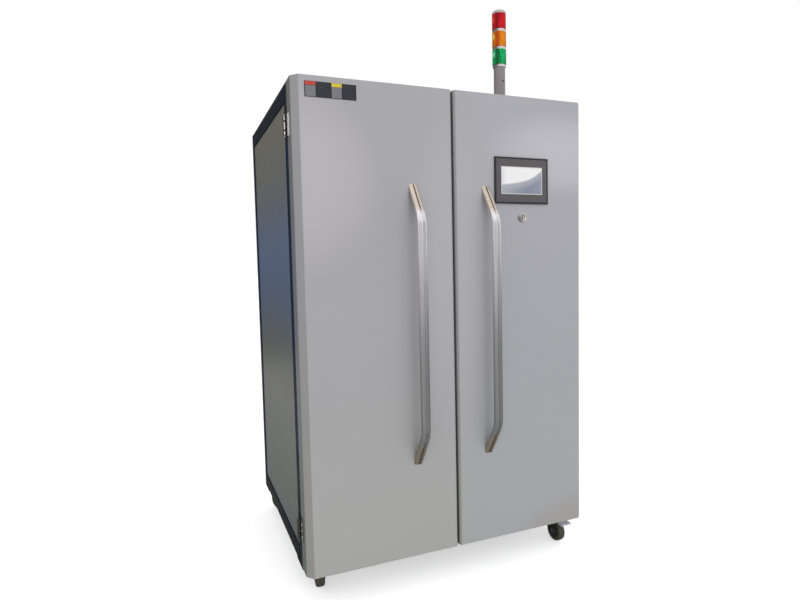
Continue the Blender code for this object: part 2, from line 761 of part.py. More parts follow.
def touch_panel_screen():
    bezel_front = front_y - SEAT - BEZEL_THICKNESS
    centre = (panel_x, bezel_front + SCREEN_RECESS + SCREEN_THICKNESS / 2, panel_z)
    size = (SCREEN_WIDTH - 2 * SEAT, SCREEN_THICKNESS, SCREEN_HEIGHT - 2 * SEAT)
    return piece(box_about(centre, size), "touch_panel_screen", SCREEN_GLASS)


def key_switch_body():
    """Ring and barrel through the door, with the contact block behind it."""
    ring_y = front_y - SEAT - KEY_RING_THICKNESS / 2
    body = cylinder(KEY_RING_RADIUS, KEY_RING_THICKNESS, (key_x, ring_y, key_z), "Y")
    barrel_y = ring_y + KEY_BARREL_LENGTH / 2
    barrel = cylinder(KEY_BARREL_RADIUS, KEY_BARREL_LENGTH, (key_x, barrel_y, key_z), "Y")
    block_y = ring_y + KEY_BARREL_LENGTH + KEY_BLOCK_DEPTH / 2 - WELD_LAP
    block = box_about((key_x, block_y, key_z), (KEY_BLOCK_WIDTH, KEY_BLOCK_DEPTH, KEY_BLOCK_HEIGHT))
    join(body, barrel, block)
    bore_depth = KEY_CORE_LENGTH + SEAT
    ring_front = front_y - SEAT - KEY_RING_THICKNESS
    bore_y = ring_front + (bore_depth - CUT_OVERRUN) / 2
    bore_radius = KEY_CORE_RADIUS + TURN_CLEARANCE
    cut(body, cylinder(bore_radius, bore_depth + CUT_OVERRUN, (key_x, bore_y, key_z), "Y"))
    return piece(body, "key_switch_body", CHROME)


def key_switch_core():
    ring_front = front_y - SEAT - KEY_RING_THICKNESS
    length = KEY_CORE_LENGTH + KEY_CORE_STEP
    core_y = ring_front - KEY_CORE_STEP + length / 2
    core = cylinder(KEY_CORE_RADIUS, length, (key_x, core_y, key_z), "Y")
    slot_y = ring_front - KEY_CORE_STEP + (KEY_SLOT_DEPTH - CUT_OVERRUN) / 2
    slot_size = (KEY_SLOT_WIDTH, KEY_SLOT_DEPTH + CUT_OVERRUN, KEY_SLOT_HEIGHT)
    cut(core, box_about((key_x, slot_y, key_z), slot_size))
    return piece(core, "key_switch_core", CHROME)


def tower_pieces():
    """Signal tower: a tube on a flange, three lenses with spacer rings, and a domed cap."""
    base = body_top - PANEL_INSET + SEAT
    place = (half_width - TOWER_FROM_SIDE, front_y + TOWER_FROM_FRONT, base)
    tube = turned([
        (0, TOWER_BODY_HEIGHT), (TOWER_BODY_RADIUS, TOWER_BODY_HEIGHT),
        (TOWER_BODY_RADIUS, TOWER_FLANGE_HEIGHT), (TOWER_FLANGE_RADIUS, TOWER_FLANGE_HEIGHT),
        (TOWER_FLANGE_RADIUS, 0), (0, 0)], place)
    pieces = [piece(tube, "tower_tube", TOWER_GREY)]
    height = TOWER_BODY_HEIGHT + SEAT
    lenses = (
        ("tower_green_lens", GREEN_LENS, LENS_RING_HEIGHT),
        ("tower_amber_lens", AMBER_LENS, LENS_RING_HEIGHT),
        ("tower_red_lens", RED_LENS, 0))
    for name, look, ring_height in lenses:
        shoulder = height + LENS_HEIGHT
        top = shoulder + ring_height
        profile = [(0, top)]
        if ring_height:
            profile += [(LENS_RING_RADIUS, top), (LENS_RING_RADIUS, shoulder)]
        profile += [(LENS_RADIUS, shoulder), (LENS_RADIUS, height), (0, height)]
        pieces.append(piece(turned(profile, place), name, look))
        height = top + SEAT
    cap_top = height + TOWER_CAP_HEIGHT
    dome = [
        (LENS_RADIUS * math.sin(angle), height + TOWER_CAP_HEIGHT * math.cos(angle))
        for angle in (0, math.pi / 6, math.pi / 3)]
    cap = turned([(0, cap_top), *dome[1:], (LENS_RADIUS, height), (0, height)], place)
    pieces.append(piece(cap, "tower_cap", WHITE_PLASTIC))
    return pieces


# Caster places and heights
swivel_x = half_width - CASTER_INSET_X
front_swivel_y = frame_front_y + CASTER_FRONT_INSET
rear_swivel_y = rear_y - CASTER_REAR_INSET
boss_top = body_bottom - CASTER_PLATE_THICKNESS - SEAT
crown_top = boss_top - BOSS_HEIGHT
crown_bottom = 2 * WHEEL_RADIUS + WHEEL_TOP_GAP
fork_half_width = WHEEL_WIDTH / 2 + WHEEL_SIDE_GAP + FORK_PLATE
axle_z = WHEEL_RADIUS * math.cos(math.pi / WHEEL_STEPS)
pedal_pin_x = TRAIL + PEDAL_HUB_RADIUS + PEDAL_PIN_RADIUS
leg_top = crown_top - 2 * WELD_LAP
pedal_pin_z = (leg_top + crown_bottom) / 2


def caster_fork(name, axis, with_pedal):
    """Swivel head and fork, built with its trail along its own +X."""
    crown_front = -BOSS_RADIUS
    crown_rear = TRAIL if with_pedal else TRAIL + FORK_FOOT
    crown_half = fork_half_width - WELD_LAP
    crown = box(
        (crown_front, -crown_half, crown_bottom), (crown_rear, crown_half, crown_top))
    boss_length = BOSS_HEIGHT + WELD_LAP
    stem_length = CASTER_PLATE_THICKNESS + WELD_LAP
    stem_z = boss_top - WELD_LAP + stem_length / 2
    axle_length = 2 * fork_half_width + FORK_PLATE
    tools = [
        cylinder(BOSS_RADIUS, boss_length, (0, 0, boss_top - boss_length / 2)),
        cylinder(STEM_RADIUS, stem_length, (0, 0, stem_z)),
        cylinder(AXLE_RADIUS, axle_length, (TRAIL, 0, axle_z), "Y", 12),
    ]
    leg_front = crown_front + WELD_LAP
    leg_rear = pedal_pin_x + PEDAL_HUB_RADIUS if with_pedal else crown_rear - WELD_LAP
    leg = [
        (leg_front, leg_top), (leg_front, crown_bottom + WELD_LAP),
        (TRAIL - FORK_FOOT, axle_z - FORK_FOOT), (TRAIL + FORK_FOOT, axle_z - FORK_FOOT),
        (leg_rear, crown_bottom + WELD_LAP), (leg_rear, leg_top)]
    leg_y = fork_half_width - FORK_PLATE / 2
    for side in (-1, 1):
        tools.append(prism(leg, FORK_PLATE, (0, side * leg_y, 0), ACROSS_Y))
    if with_pedal:
        pin_length = 2 * fork_half_width - FORK_PLATE
        tools.append(cylinder(PEDAL_PIN_RADIUS, pin_length, (pedal_pin_x, 0, pedal_pin_z), "Y", 12))
    join(crown, *tools)
    for obj in (crown, *tools):
        obj.parent = axis
    return piece(crown, name, ZINC)


def caster_wheel(name, axis):
    """Wheel that stands on one of its flat facets."""
    bore = AXLE_RADIUS + TURN_CLEARANCE
    half = WHEEL_WIDTH / 2
    profile = [
        (bore, half), (WHEEL_RADIUS - WHEEL_EDGE, half), (WHEEL_RADIUS, half - WHEEL_EDGE),
        (WHEEL_RADIUS, WHEEL_EDGE - half), (WHEEL_RADIUS - WHEEL_EDGE, -half), (bore, -half)]
    wheel = turned(profile, axis="Y", steps=WHEEL_STEPS)
    wheel.rotation_euler.y = math.pi / WHEEL_STEPS
    wheel.parent = axis
    return piece(wheel, name, BLACK_RUBBER)


def caster_pedal(name, axis):
    """Brake pedal with its hub on the fork's cross pin, reaching out above the wheel."""
    pedal = cylinder(PEDAL_HUB_RADIUS, WHEEL_WIDTH, (0, 0, 0), "Y", 12)
    half_thick = PEDAL_THICKNESS / 2
    toe_start = PEDAL_REACH - PEDAL_TOE_LENGTH
    arm = box((0, -WHEEL_WIDTH / 2, -half_thick), (PEDAL_REACH, WHEEL_WIDTH / 2, half_thick))
    toe = box(
        (toe_start, -PEDAL_TOE_WIDTH / 2, -half_thick), (PEDAL_REACH, PEDAL_TOE_WIDTH / 2, half_thick))
    for plate in (arm, toe):
        plate.data.transform(Matrix.Translation(plate.location))
        plate.location = (0, 0, 0)
        plate.rotation_euler.y = math.radians(CASTER_PEDAL_SLOPE)
    join(pedal, arm, toe)
    bore = PEDAL_PIN_RADIUS + TURN_CLEARANCE
    hole = cylinder(bore, WHEEL_WIDTH + CUT_OVERRUN, (0, 0, 0), "Y", 12)
    cut(pedal, hole)
    for obj in (pedal, arm, toe, hole):
        obj.parent = axis
    return piece(pedal, name, ZINC)


def caster(place, side, swivel_y, angle, with_pedal):
    swivel = joint_empty(place + "_swivel", (side * swivel_x, swivel_y, 0), math.radians(angle))
    caster_fork(place + "_fork", swivel, with_pedal)
    spin = joint_empty(place + "_spin", (TRAIL, 0, axle_z), parent=swivel)
    caster_wheel(place + "_wheel", spin)
    if with_pedal:
        pedal_axis = joint_empty(place + "_pedal_pivot", (pedal_pin_x, 0, pedal_pin_z), parent=swivel)
        caster_pedal(place + "_brake_pedal", pedal_axis)


def slot_length():
    span = element_pitch * (ELEMENT_COUNT - 1) + element_legs
    return span + 2 * ELEMENT_RADIUS + 2 * ELEMENT_SLOT_MARGIN


def holder_length():
    return slot_length() + 2 * HOLDER_MARGIN


def furnace_casing():
    """Sheet-steel casing on four legs, open at the front, with openings in roof and floor."""
    half = casing_width / 2
    low = (left_bay_x - half, casing_front_y, casing_bottom)
    high = (left_bay_x + half, casing_rear_y, casing_top)
    casing = pan(low, high, (0, -1, 0), SHEET)
    leg_place = CASING_LEG_INSET + CASING_LEG / 2
    leg_z = (floor_top + SEAT + casing_bottom + WELD_LAP) / 2
    leg_height = casing_bottom + WELD_LAP - floor_top - SEAT
    for leg_x in (left_bay_x - half + leg_place, left_bay_x + half - leg_place):
        for leg_y in (casing_front_y + leg_place, casing_rear_y - leg_place):
            join(casing, box_about((leg_x, leg_y, leg_z), (CASING_LEG, CASING_LEG, leg_height)))
    hole_depth = SHEET + CUT_OVERRUN
    window_width = HOLDER_WIDTH + 2 * ELEMENT_SLOT_MARGIN
    window_length = holder_length() + 2 * ELEMENT_SLOT_MARGIN
    for side in (-1, 1):
        window_centre = (left_bay_x + side * element_offset, crucible_y, casing_top - SHEET / 2)
        cut(casing, box_about(window_centre, (window_width, window_length, hole_depth)))
    drain = (left_bay_x, crucible_y, casing_bottom + SHEET / 2)
    cut(casing, cylinder(DISCHARGE_RADIUS + SEAT, hole_depth, drain))
    probe_hole = (left_bay_x, casing_rear_y - SHEET / 2, probe_z)
    cut(casing, cylinder(THERMOCOUPLE_RADIUS + SEAT, hole_depth, probe_hole, "Y", 12))
    return piece(casing, "furnace_casing", BARE_STEEL)


def furnace_lining():
    """Ceramic-fibre block around the melting chamber."""
    half = casing_width / 2 - SHEET - SEAT
    rear = casing_rear_y - SHEET - SEAT
    low = (left_bay_x - half, casing_front_y, lining_bottom)
    lining = box(low, (left_bay_x + half, rear, lining_top))
    chamber_low = (left_bay_x - half_chamber, casing_front_y - CUT_OVERRUN, chamber_floor)
    chamber_high = (left_bay_x + half_chamber, chamber_rear_y, chamber_roof)
    cut(lining, box(chamber_low, chamber_high))
    roof = lining_top - chamber_roof
    for side in (-1, 1):
        slot_centre = (left_bay_x + side * element_offset, crucible_y, (lining_top + chamber_roof) / 2)
        cut(lining, box_about(slot_centre, (ELEMENT_SLOT_WIDTH, slot_length(), roof + CUT_OVERRUN)))
    drain = (left_bay_x, crucible_y, (lining_bottom + chamber_floor) / 2)
    cut(lining, cylinder(DISCHARGE_RADIUS + SEAT, FLOOR_LINING + CUT_OVERRUN, drain))
    wall = rear - chamber_rear_y
    probe_hole = (left_bay_x, (rear + chamber_rear_y) / 2, probe_z)
    cut(lining, cylinder(THERMOCOUPLE_RADIUS + SEAT, wall + CUT_OVERRUN, probe_hole, "Y", 12))
    return piece(lining, "furnace_lining", FIBRE)


def crucible():
    """Clay crucible with an outlet nozzle in its floor."""
    inner_top = CRUCIBLE_TOP_RADIUS - CRUCIBLE_WALL
    inner_foot = CRUCIBLE_FOOT_RADIUS - CRUCIBLE_WALL
    profile = [
        (inner_top, CRUCIBLE_HEIGHT), (CRUCIBLE_TOP_RADIUS, CRUCIBLE_HEIGHT), (CRUCIBLE_FOOT_RADIUS, 0),
        (NOZZLE_RADIUS, 0), (NOZZLE_RADIUS, -NOZZLE_LENGTH), (OUTLET_RADIUS, -NOZZLE_LENGTH),
        (OUTLET_RADIUS, CRUCIBLE_FLOOR), (inner_foot, CRUCIBLE_FLOOR)]
    pot = turned(profile, (left_bay_x, crucible_y, chamber_floor + SEAT))
    return piece(pot, "crucible", FIRED_CLAY)


def discharge_tube():
    bottom = casing_bottom - DISCHARGE_DROP
    profile = [
        (DISCHARGE_BORE, chamber_floor), (DISCHARGE_RADIUS, chamber_floor),
        (DISCHARGE_RADIUS, bottom), (DISCHARGE_BORE, bottom)]
    return piece(turned(profile, (left_bay_x, crucible_y, 0)), "discharge_tube", FIRED_CLAY)


def element_bank(name, side):
    """U-shaped heating rods in series, hung from a holder on the lining's roof."""
    bank_x = left_bay_x + side * element_offset
    holder_bottom = lining_top + SEAT
    holder_z = holder_bottom + HOLDER_THICKNESS / 2
    bank = box_about((bank_x, crucible_y, holder_z), (HOLDER_WIDTH, holder_length(), HOLDER_THICKNESS))
    rod_top = holder_bottom + HOLDER_THICKNESS + ELEMENT_TERMINAL
    bend_radius = element_legs / 2
    bend_z = chamber_floor + ELEMENT_FLOOR_GAP + bend_radius
    bend = [math.pi * step / 6 for step in range(7)]
    for place in spread(ELEMENT_COUNT):
        rod_y = crucible_y + place * element_pitch
        path = [(bank_x, rod_y - bend_radius, rod_top)]
        path += [
            (bank_x, rod_y - bend_radius * math.cos(angle), bend_z - bend_radius * math.sin(angle))
            for angle in bend]
        path.append((bank_x, rod_y + bend_radius, rod_top))
        join(bank, rod(path, ELEMENT_RADIUS))
    strap_z = rod_top - STRAP_WIDTH
    strap_length = element_pitch - element_legs + STRAP_WIDTH
    for place in spread(ELEMENT_COUNT - 1):
        strap_y = crucible_y + place * element_pitch
        join(bank, box_about((bank_x, strap_y, strap_z), (STRAP_WIDTH, strap_length, STRAP_THICKNESS)))
    return piece(bank, name, HOT_ROD)


def thermocouple():
    """Sheathed probe through the rear wall, with its terminal head behind the casing."""
    tip = chamber_rear_y - THERMOCOUPLE_REACH
    seat_y = casing_rear_y + SEAT
    profile = [
        (0, THERMOCOUPLE_HEAD_LENGTH), (THERMOCOUPLE_HEAD_RADIUS, THERMOCOUPLE_HEAD_LENGTH),
        (THERMOCOUPLE_HEAD_RADIUS, 0), (THERMOCOUPLE_RADIUS, 0),
        (THERMOCOUPLE_RADIUS, tip - seat_y), (0, tip - seat_y)]
    return piece(turned(profile, (left_bay_x, seat_y, probe_z), "Y", 12), "thermocouple", ZINC)


def drip_tray():
    half_width_tray = tank_width / 2 + TRAY_MARGIN
    half_depth_tray = tank_depth / 2 + TRAY_MARGIN
    low = (left_bay_x - half_width_tray, tank_y - half_depth_tray, floor_top + SEAT)
    high = (left_bay_x + half_width_tray, tank_y + half_depth_tray, floor_top + SEAT + TRAY_HEIGHT)
    return piece(pan(low, high, (0, 0, 1), SHEET), "drip_tray", BARE_STEEL)


def quench_tank():
    bottom = floor_top + SEAT + SHEET + SEAT
    low = (left_bay_x - tank_width / 2, tank_y - tank_depth / 2, bottom)
    high = (left_bay_x + tank_width / 2, tank_y + tank_depth / 2, bottom + TANK_HEIGHT)
    return piece(pan(low, high, (0, 0, 1), SHEET), "quench_tank", STAINLESS)


def door_pad():
    """Fibre block on the left door that closes the chamber's mouth."""
    half = casing_width / 2 - DOOR_PAD_INSET
    low = (left_bay_x - half, front_y + SHEET + SEAT, casing_bottom)
    high = (left_bay_x + half, casing_front_y - DOOR_PAD_GAP, casing_top)
    return piece(box(low, high), "door_insulation", FIBRE)


def mounting_plate():
    half = bay_width / 2 - BACKPLATE_SIDE_GAP
    low = (right_bay_x - half, backplate_y, floor_top + SEAT)
    high = (right_bay_x + half, backplate_y + PANEL_FLANGE, floor_top + SEAT + BACKPLATE_HEIGHT)
    return piece(pan(low, high, (0, 1, 0), SHEET), "mounting_plate", ZINC)


def transformer():
    """Three-limb transformer standing on the floor plate."""
    base = floor_top + SEAT
    centre_y = front_y + TRANSFORMER_FROM_FRONT
    core_z = base + TRANSFORMER_HEIGHT / 2
    core = box_about(
        (right_bay_x, centre_y, core_z), (TRANSFORMER_WIDTH, TRANSFORMER_DEPTH / 2, TRANSFORMER_HEIGHT))
    coil_pitch = TRANSFORMER_WIDTH / COIL_COUNT
    coil_width = coil_pitch - COIL_GAP
    coil_height = TRANSFORMER_HEIGHT - 2 * TRANSFORMER_YOKE
    coil_depth = TRANSFORMER_DEPTH / 2 + 2 * COIL_BULGE
    for place in spread(COIL_COUNT):
        coil_x = right_bay_x + place * coil_pitch
        join(core, box_about((coil_x, centre_y, core_z), (coil_width, coil_depth, coil_height)))
    return piece(core, "transformer", GREY_PLASTIC)


def power_controller():
    """Thyristor power controller with a finned heat sink toward the front."""
    back = backplate_y - SEAT
    centre = (
        right_bay_x + CONTROLLER_OFFSET_X, back - CONTROLLER_DEPTH / 2,
        floor_top + CONTROLLER_FROM_BASE + CONTROLLER_HEIGHT / 2)
    body = box_about(centre, (CONTROLLER_WIDTH, CONTROLLER_DEPTH, CONTROLLER_HEIGHT))
    fin_pitch = CONTROLLER_WIDTH / (FIN_COUNT + 1)
    groove_y = back - CONTROLLER_DEPTH + (FIN_DEPTH - CUT_OVERRUN) / 2
    groove = (FIN_GAP, FIN_DEPTH + CUT_OVERRUN, CONTROLLER_HEIGHT + CUT_OVERRUN)
    for place in spread(FIN_COUNT):
        cut(body, box_about((centre[0] + place * fin_pitch, groove_y, centre[2]), groove))
    return piece(body, "power_controller", ALUMINIUM)


def main_breaker():
    back = backplate_y - SEAT
    centre = (breaker_x, back - BREAKER_DEPTH / 2, breaker_z)
    body = box_about(centre, (BREAKER_WIDTH, BREAKER_DEPTH, BREAKER_HEIGHT))
    slot_y = back - BREAKER_DEPTH + (BREAKER_SLOT_DEPTH - CUT_OVERRUN) / 2
    slot = (BREAKER_SLOT_WIDTH, BREAKER_SLOT_DEPTH + CUT_OVERRUN, BREAKER_SLOT_HEIGHT)
    cut(body, box_about((breaker_x, slot_y, breaker_z), slot))
    pin_length = BREAKER_SLOT_WIDTH + 2 * WELD_LAP
    join(body, cylinder(LEVER_PIN_RADIUS, pin_length, (breaker_x, lever_y, breaker_z), "X", 12))
    return piece(body, "main_breaker", BLACK_PLASTIC)


def breaker_lever():
    """Lever on the breaker's pin, tilted down to its off position."""
    lever = cylinder(LEVER_HUB_RADIUS, LEVER_WIDTH, (0, 0, 0), "X", 16)
    half_width_lever = LEVER_WIDTH / 2
    half_thick = LEVER_THICKNESS / 2
    arm = box((-half_width_lever, -LEVER_REACH, -half_thick), (half_width_lever, 0, half_thick))
    arm.data.transform(Matrix.Translation(arm.location))
    arm.location = (0, 0, 0)
    arm.rotation_euler.x = math.radians(BREAKER_OFF_TILT)
    join(lever, arm)
    hole = cylinder(LEVER_PIN_RADIUS + TURN_CLEARANCE, LEVER_WIDTH + CUT_OVERRUN, (0, 0, 0), "X", 12)
    cut(lever, hole)
    for obj in (lever, arm, hole):
        obj.location = (breaker_x, lever_y, breaker_z)
    return piece(lever, "breaker_lever", WHITE_PLASTIC)


def fan_housing():
    """Square fan frame on the rear panel, with the struts that hold the motor."""
    centre_y = rear_y - FAN_DEPTH / 2
    frame = box_about((fan_x, centre_y, fan_z), (FAN_SIZE, FAN_DEPTH, FAN_SIZE))
    cut(frame, cylinder(FAN_BORE_RADIUS, FAN_DEPTH + CUT_OVERRUN, (fan_x, centre_y, fan_z), "Y"))
    motor_y = rear_y - FAN_MOTOR_DEPTH / 2
    strut_length = 2 * FAN_BORE_RADIUS + 2 * WELD_LAP
    join(
        frame,
        box_about((fan_x, motor_y, fan_z), (strut_length, FAN_MOTOR_DEPTH, FAN_STRUT_WIDTH)),
        box_about((fan_x, motor_y, fan_z), (FAN_STRUT_WIDTH, FAN_MOTOR_DEPTH, strut_length)),
        cylinder(FAN_HUB_RADIUS, FAN_MOTOR_DEPTH - WELD_LAP, (fan_x, motor_y, fan_z), "Y"))
    return piece(frame, "fan_housing", BLACK_PLASTIC)


def fan_rotor():
    hub_depth = FAN_DEPTH - FAN_MOTOR_DEPTH - 2 * SEAT
    hub_y = rear_y - FAN_MOTOR_DEPTH - SEAT - hub_depth / 2
    rotor = cylinder(FAN_HUB_RADIUS, hub_depth, (fan_x, hub_y, fan_z), "Y")
    blade_start = FAN_HUB_RADIUS - 2 * FAN_BLADE_THICKNESS
    blade_length = FAN_BLADE_RADIUS - blade_start
    for index in range(FAN_BLADE_COUNT):
        blade = box_about((0, 0, 0), (FAN_BLADE_WIDTH, FAN_BLADE_THICKNESS, blade_length))
        pitch = Matrix.Rotation(math.radians(FAN_BLADE_PITCH), 4, "Z")
        lift = Matrix.Translation((0, 0, blade_start + blade_length / 2))
        turn = Matrix.Rotation(2 * math.pi * index / FAN_BLADE_COUNT, 4, "Y")
        blade.matrix_world = Matrix.Translation((fan_x, hub_y, fan_z)) @ turn @ lift @ pitch
        join(rotor, blade)
    return piece(rotor, "fan_rotor", BLACK_PLASTIC)


def cable_gland():
    """Gland where the supply cable enters, with its flange against the rear panel."""
    flange_face = SHEET + SEAT
    flange_top = flange_face + GLAND_FLANGE_THICKNESS
    dome_top = flange_top + GLAND_DOME_LENGTH
    profile = [
        (GLAND_BORE_RADIUS, dome_top), (GLAND_DOME_RADIUS, dome_top),
        (GLAND_DOME_RADIUS, flange_top), (GLAND_FLANGE_RADIUS, flange_top),
        (GLAND_FLANGE_RADIUS, flange_face), (GLAND_THREAD_RADIUS, flange_face),
        (GLAND_THREAD_RADIUS, -GLAND_TAIL), (GLAND_BORE_RADIUS, -GLAND_TAIL)]
    return piece(turned(profile, (gland_x, rear_y + SEAT, gland_z), "Y"), "cable_gland", BLACK_PLASTIC)


# Places of single fittings
plate_x = -half_width + PLATE_FROM_SIDE + PLATE_WIDTH / 2
panel_x = right_door_x - PANEL_OFFSET
panel_z = body_top - PANEL_FROM_TOP
key_x = right_door_x - KEY_OFFSET
key_z = body_top - KEY_FROM_TOP
fan_x = right_bay_x + FAN_OFFSET
fan_z = body_top - FAN_FROM_TOP
gland_x = half_width - GLAND_FROM_SIDE
gland_z = body_bottom + GLAND_FROM_BOTTOM
probe_z = chamber_roof - THERMOCOUPLE_BELOW_ROOF
tank_y = (casing_front_y + casing_rear_y) / 2
breaker_x = right_bay_x + BREAKER_OFFSET_X
breaker_z = floor_top + BREAKER_FROM_BASE + BREAKER_HEIGHT / 2
lever_y = backplate_y - SEAT - BREAKER_DEPTH + BREAKER_SLOT_DEPTH / 2

clear_scene()
part_collection = make_collection("frit_melting_furnace")
cutter_collection = make_collection("cutters")

side_frame("left_side_frame", -1)
side_frame("right_side_frame", 1)
cross_frame("front_frame", frame_front_y)
cross_frame("rear_frame", bay_rear_y)
side_panel("left_side_panel", -1)
side_panel("right_side_panel", 1)
rear_panel()
top_panel()
floor_plate()
divider_wall()

upper_hinge_z = body_top - HINGE_FROM_EDGE
lower_hinge_z = body_bottom + HINGE_FROM_EDGE
for door_name, side in (("left", -1), ("right", 1)):
    for level, hinge_z in (("upper", upper_hinge_z), ("lower", lower_hinge_z)):
        hinge_leaf(f"{door_name}_{level}_hinge_frame_leaf", side, hinge_z, False)

left_axis = joint_empty("left_door_hinge_axis", (-hinge_x, hinge_y, door_centre_z))
carry(
    left_axis,
    left_door(),
    bow_handle("left_door_handle", -LEFT_HANDLE_FROM_MIDDLE),
    hinge_leaf("left_upper_hinge_door_leaf", -1, upper_hinge_z, True),
    hinge_leaf("left_lower_hinge_door_leaf", -1, lower_hinge_z, True),
    rating_plate(),
    door_pad())

right_axis = joint_empty("right_door_hinge_axis", (hinge_x, hinge_y, door_centre_z))
carry(
    right_axis,
    right_door(),
    bow_handle("right_door_handle", RIGHT_HANDLE_FROM_MIDDLE),
    hinge_leaf("right_upper_hinge_door_leaf", 1, upper_hinge_z, True),
    hinge_leaf("right_lower_hinge_door_leaf", 1, lower_hinge_z, True),
    touch_panel_housing(),
    touch_panel_screen(),
    key_switch_body())
key_axis = joint_empty("key_switch_axis", (key_x, front_y, key_z))
carry(right_axis, key_axis)
carry(key_axis, key_switch_core())

tower_pieces()

caster("front_left_caster", -1, front_swivel_y, FRONT_LEFT_TRAIL_ANGLE, True)
caster("front_right_caster", 1, front_swivel_y, FRONT_RIGHT_TRAIL_ANGLE, True)
caster("rear_left_caster", -1, rear_swivel_y, REAR_LEFT_TRAIL_ANGLE, False)
caster("rear_right_caster", 1, rear_swivel_y, REAR_RIGHT_TRAIL_ANGLE, False)

furnace_casing()
furnace_lining()
crucible()
discharge_tube()
element_bank("left_element_bank", -1)
element_bank("right_element_bank", 1)
thermocouple()
drip_tray()
quench_tank()

mounting_plate()
transformer()
power_controller()
main_breaker()
lever_axis = joint_empty("breaker_lever_axis", (breaker_x, lever_y, breaker_z))
carry(lever_axis, breaker_lever())
fan_housing()
fan_axis = joint_empty("fan_axis", (fan_x, rear_y, fan_z))
carry(fan_axis, fan_rotor())
cable_gland()
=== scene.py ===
import json
import math
from itertools import product

import bmesh
import bpy
from mathutils import Matrix, Vector

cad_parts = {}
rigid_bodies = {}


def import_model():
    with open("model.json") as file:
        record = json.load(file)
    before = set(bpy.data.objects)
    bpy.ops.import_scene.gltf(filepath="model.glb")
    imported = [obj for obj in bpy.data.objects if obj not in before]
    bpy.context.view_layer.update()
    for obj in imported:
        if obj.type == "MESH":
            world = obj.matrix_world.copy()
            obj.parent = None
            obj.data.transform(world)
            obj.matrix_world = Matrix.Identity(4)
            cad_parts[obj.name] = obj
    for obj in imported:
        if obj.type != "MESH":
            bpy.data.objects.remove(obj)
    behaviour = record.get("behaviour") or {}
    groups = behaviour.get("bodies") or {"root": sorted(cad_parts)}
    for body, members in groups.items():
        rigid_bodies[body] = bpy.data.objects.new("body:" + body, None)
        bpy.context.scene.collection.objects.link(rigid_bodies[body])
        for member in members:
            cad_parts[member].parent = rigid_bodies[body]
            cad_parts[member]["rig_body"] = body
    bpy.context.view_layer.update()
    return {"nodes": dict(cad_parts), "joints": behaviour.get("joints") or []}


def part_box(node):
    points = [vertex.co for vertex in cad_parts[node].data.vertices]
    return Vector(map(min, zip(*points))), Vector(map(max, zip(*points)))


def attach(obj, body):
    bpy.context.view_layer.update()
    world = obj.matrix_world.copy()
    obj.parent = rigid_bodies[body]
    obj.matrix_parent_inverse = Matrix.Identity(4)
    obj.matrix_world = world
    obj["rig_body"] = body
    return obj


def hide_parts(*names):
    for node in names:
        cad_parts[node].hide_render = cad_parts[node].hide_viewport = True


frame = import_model()
nodes = frame["nodes"]
scene = bpy.context.scene

# Lengths are in millimetres, and make() turns each piece into the frame's metres.
# Paint functions, light and camera measure in metres.
MM = 0.001
SHEET = 2
# The doors face -Y, and the left side lies toward -X
SIDES = (("left", -1), ("right", 1))
QUARTER = math.pi / 2
TURNS = {
    "Z": Matrix.Identity(4),
    "-Z": Matrix.Rotation(2 * QUARTER, 4, "X"),
    "Y": Matrix.Rotation(-QUARTER, 4, "X"),
    "-Y": Matrix.Rotation(QUARTER, 4, "X"),
    "X": Matrix.Rotation(QUARTER, 4, "Y"),
    "-X": Matrix.Rotation(-QUARTER, 4, "Y"),
}


# Forms: each function returns a bmesh in world places

def box(node, inset=(0, 0, 0)):
    """The lowest and highest corner of a CAD node, drawn in by an inset."""
    low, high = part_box(node)
    return Vector(low) / MM + Vector(inset), Vector(high) / MM - Vector(inset)


def middle(node):
    low, high = box(node)
    return (low + high) / 2


def around(count, offset=0):
    """Even angles of a full turn."""
    return [2 * math.pi * (step + offset) / count for step in range(count)]


def bevel(form, edges, radius, segments=2):
    bmesh.ops.bevel(form, geom=edges, offset=radius, segments=segments, profile=0.5, affect="EDGES")
    return form


def block(low, high, radius=1, segments=2):
    """A box between two corners, with eased edges."""
    low, high = Vector(low), Vector(high)
    size = high - low
    form = bmesh.new()
    bmesh.ops.create_cube(form, size=1)
    form.transform(Matrix.Translation((low + high) / 2) @ Matrix.Diagonal((*size, 1)))
    if radius:
        bevel(form, form.edges[:], min(radius, min(size) * 0.45), segments)
    return form


def block_about(centre, size, radius=1):
    half = Vector(size) / 2
    return block(Vector(centre) - half, Vector(centre) + half, radius)


def skin(rings, caps=True, loop=False):
    """A surface through rings of points, with end faces or joined into a loop."""
    form = bmesh.new()
    rows = [[form.verts.new(point) for point in ring] for ring in rings]
    following = rows[1:] + ([rows[0]] if loop else [])
    for near, far in zip(rows, following):
        for index in range(len(near)):
            after = (index + 1) % len(near)
            form.faces.new((near[index], near[after], far[after], far[index]))
    if caps and not loop:
        form.faces.new(rows[0][::-1])
        form.faces.new(rows[-1])
    bmesh.ops.recalc_face_normals(form, faces=form.faces)
    return form


def lathe(profile, centre=(0, 0, 0), axis="Z", steps=32):
    """A turned form: its profile is a list of radius and height along the axis."""
    rings = [
        [(radius * math.cos(angle), radius * math.sin(angle), height) for angle in around(steps)]
        for radius, height in profile]
    hollow = all(radius > 0 for radius, height in profile)
    form = skin(rings, caps=False, loop=hollow)
    bmesh.ops.remove_doubles(form, verts=form.verts, dist=0.001)
    bmesh.ops.recalc_face_normals(form, faces=form.faces)
    form.transform(Matrix.Translation(centre) @ TURNS[axis])
    return form


def rod(radius, length, centre, axis="Z", steps=24, edge=0.6):
    """A round bar about its centre, with eased ends."""
    half = length / 2
    profile = [
        (0, -half), (radius - edge, -half), (radius, edge - half), (radius, half - edge),
        (radius - edge, half), (0, half)]
    return lathe(profile, centre, axis, steps)


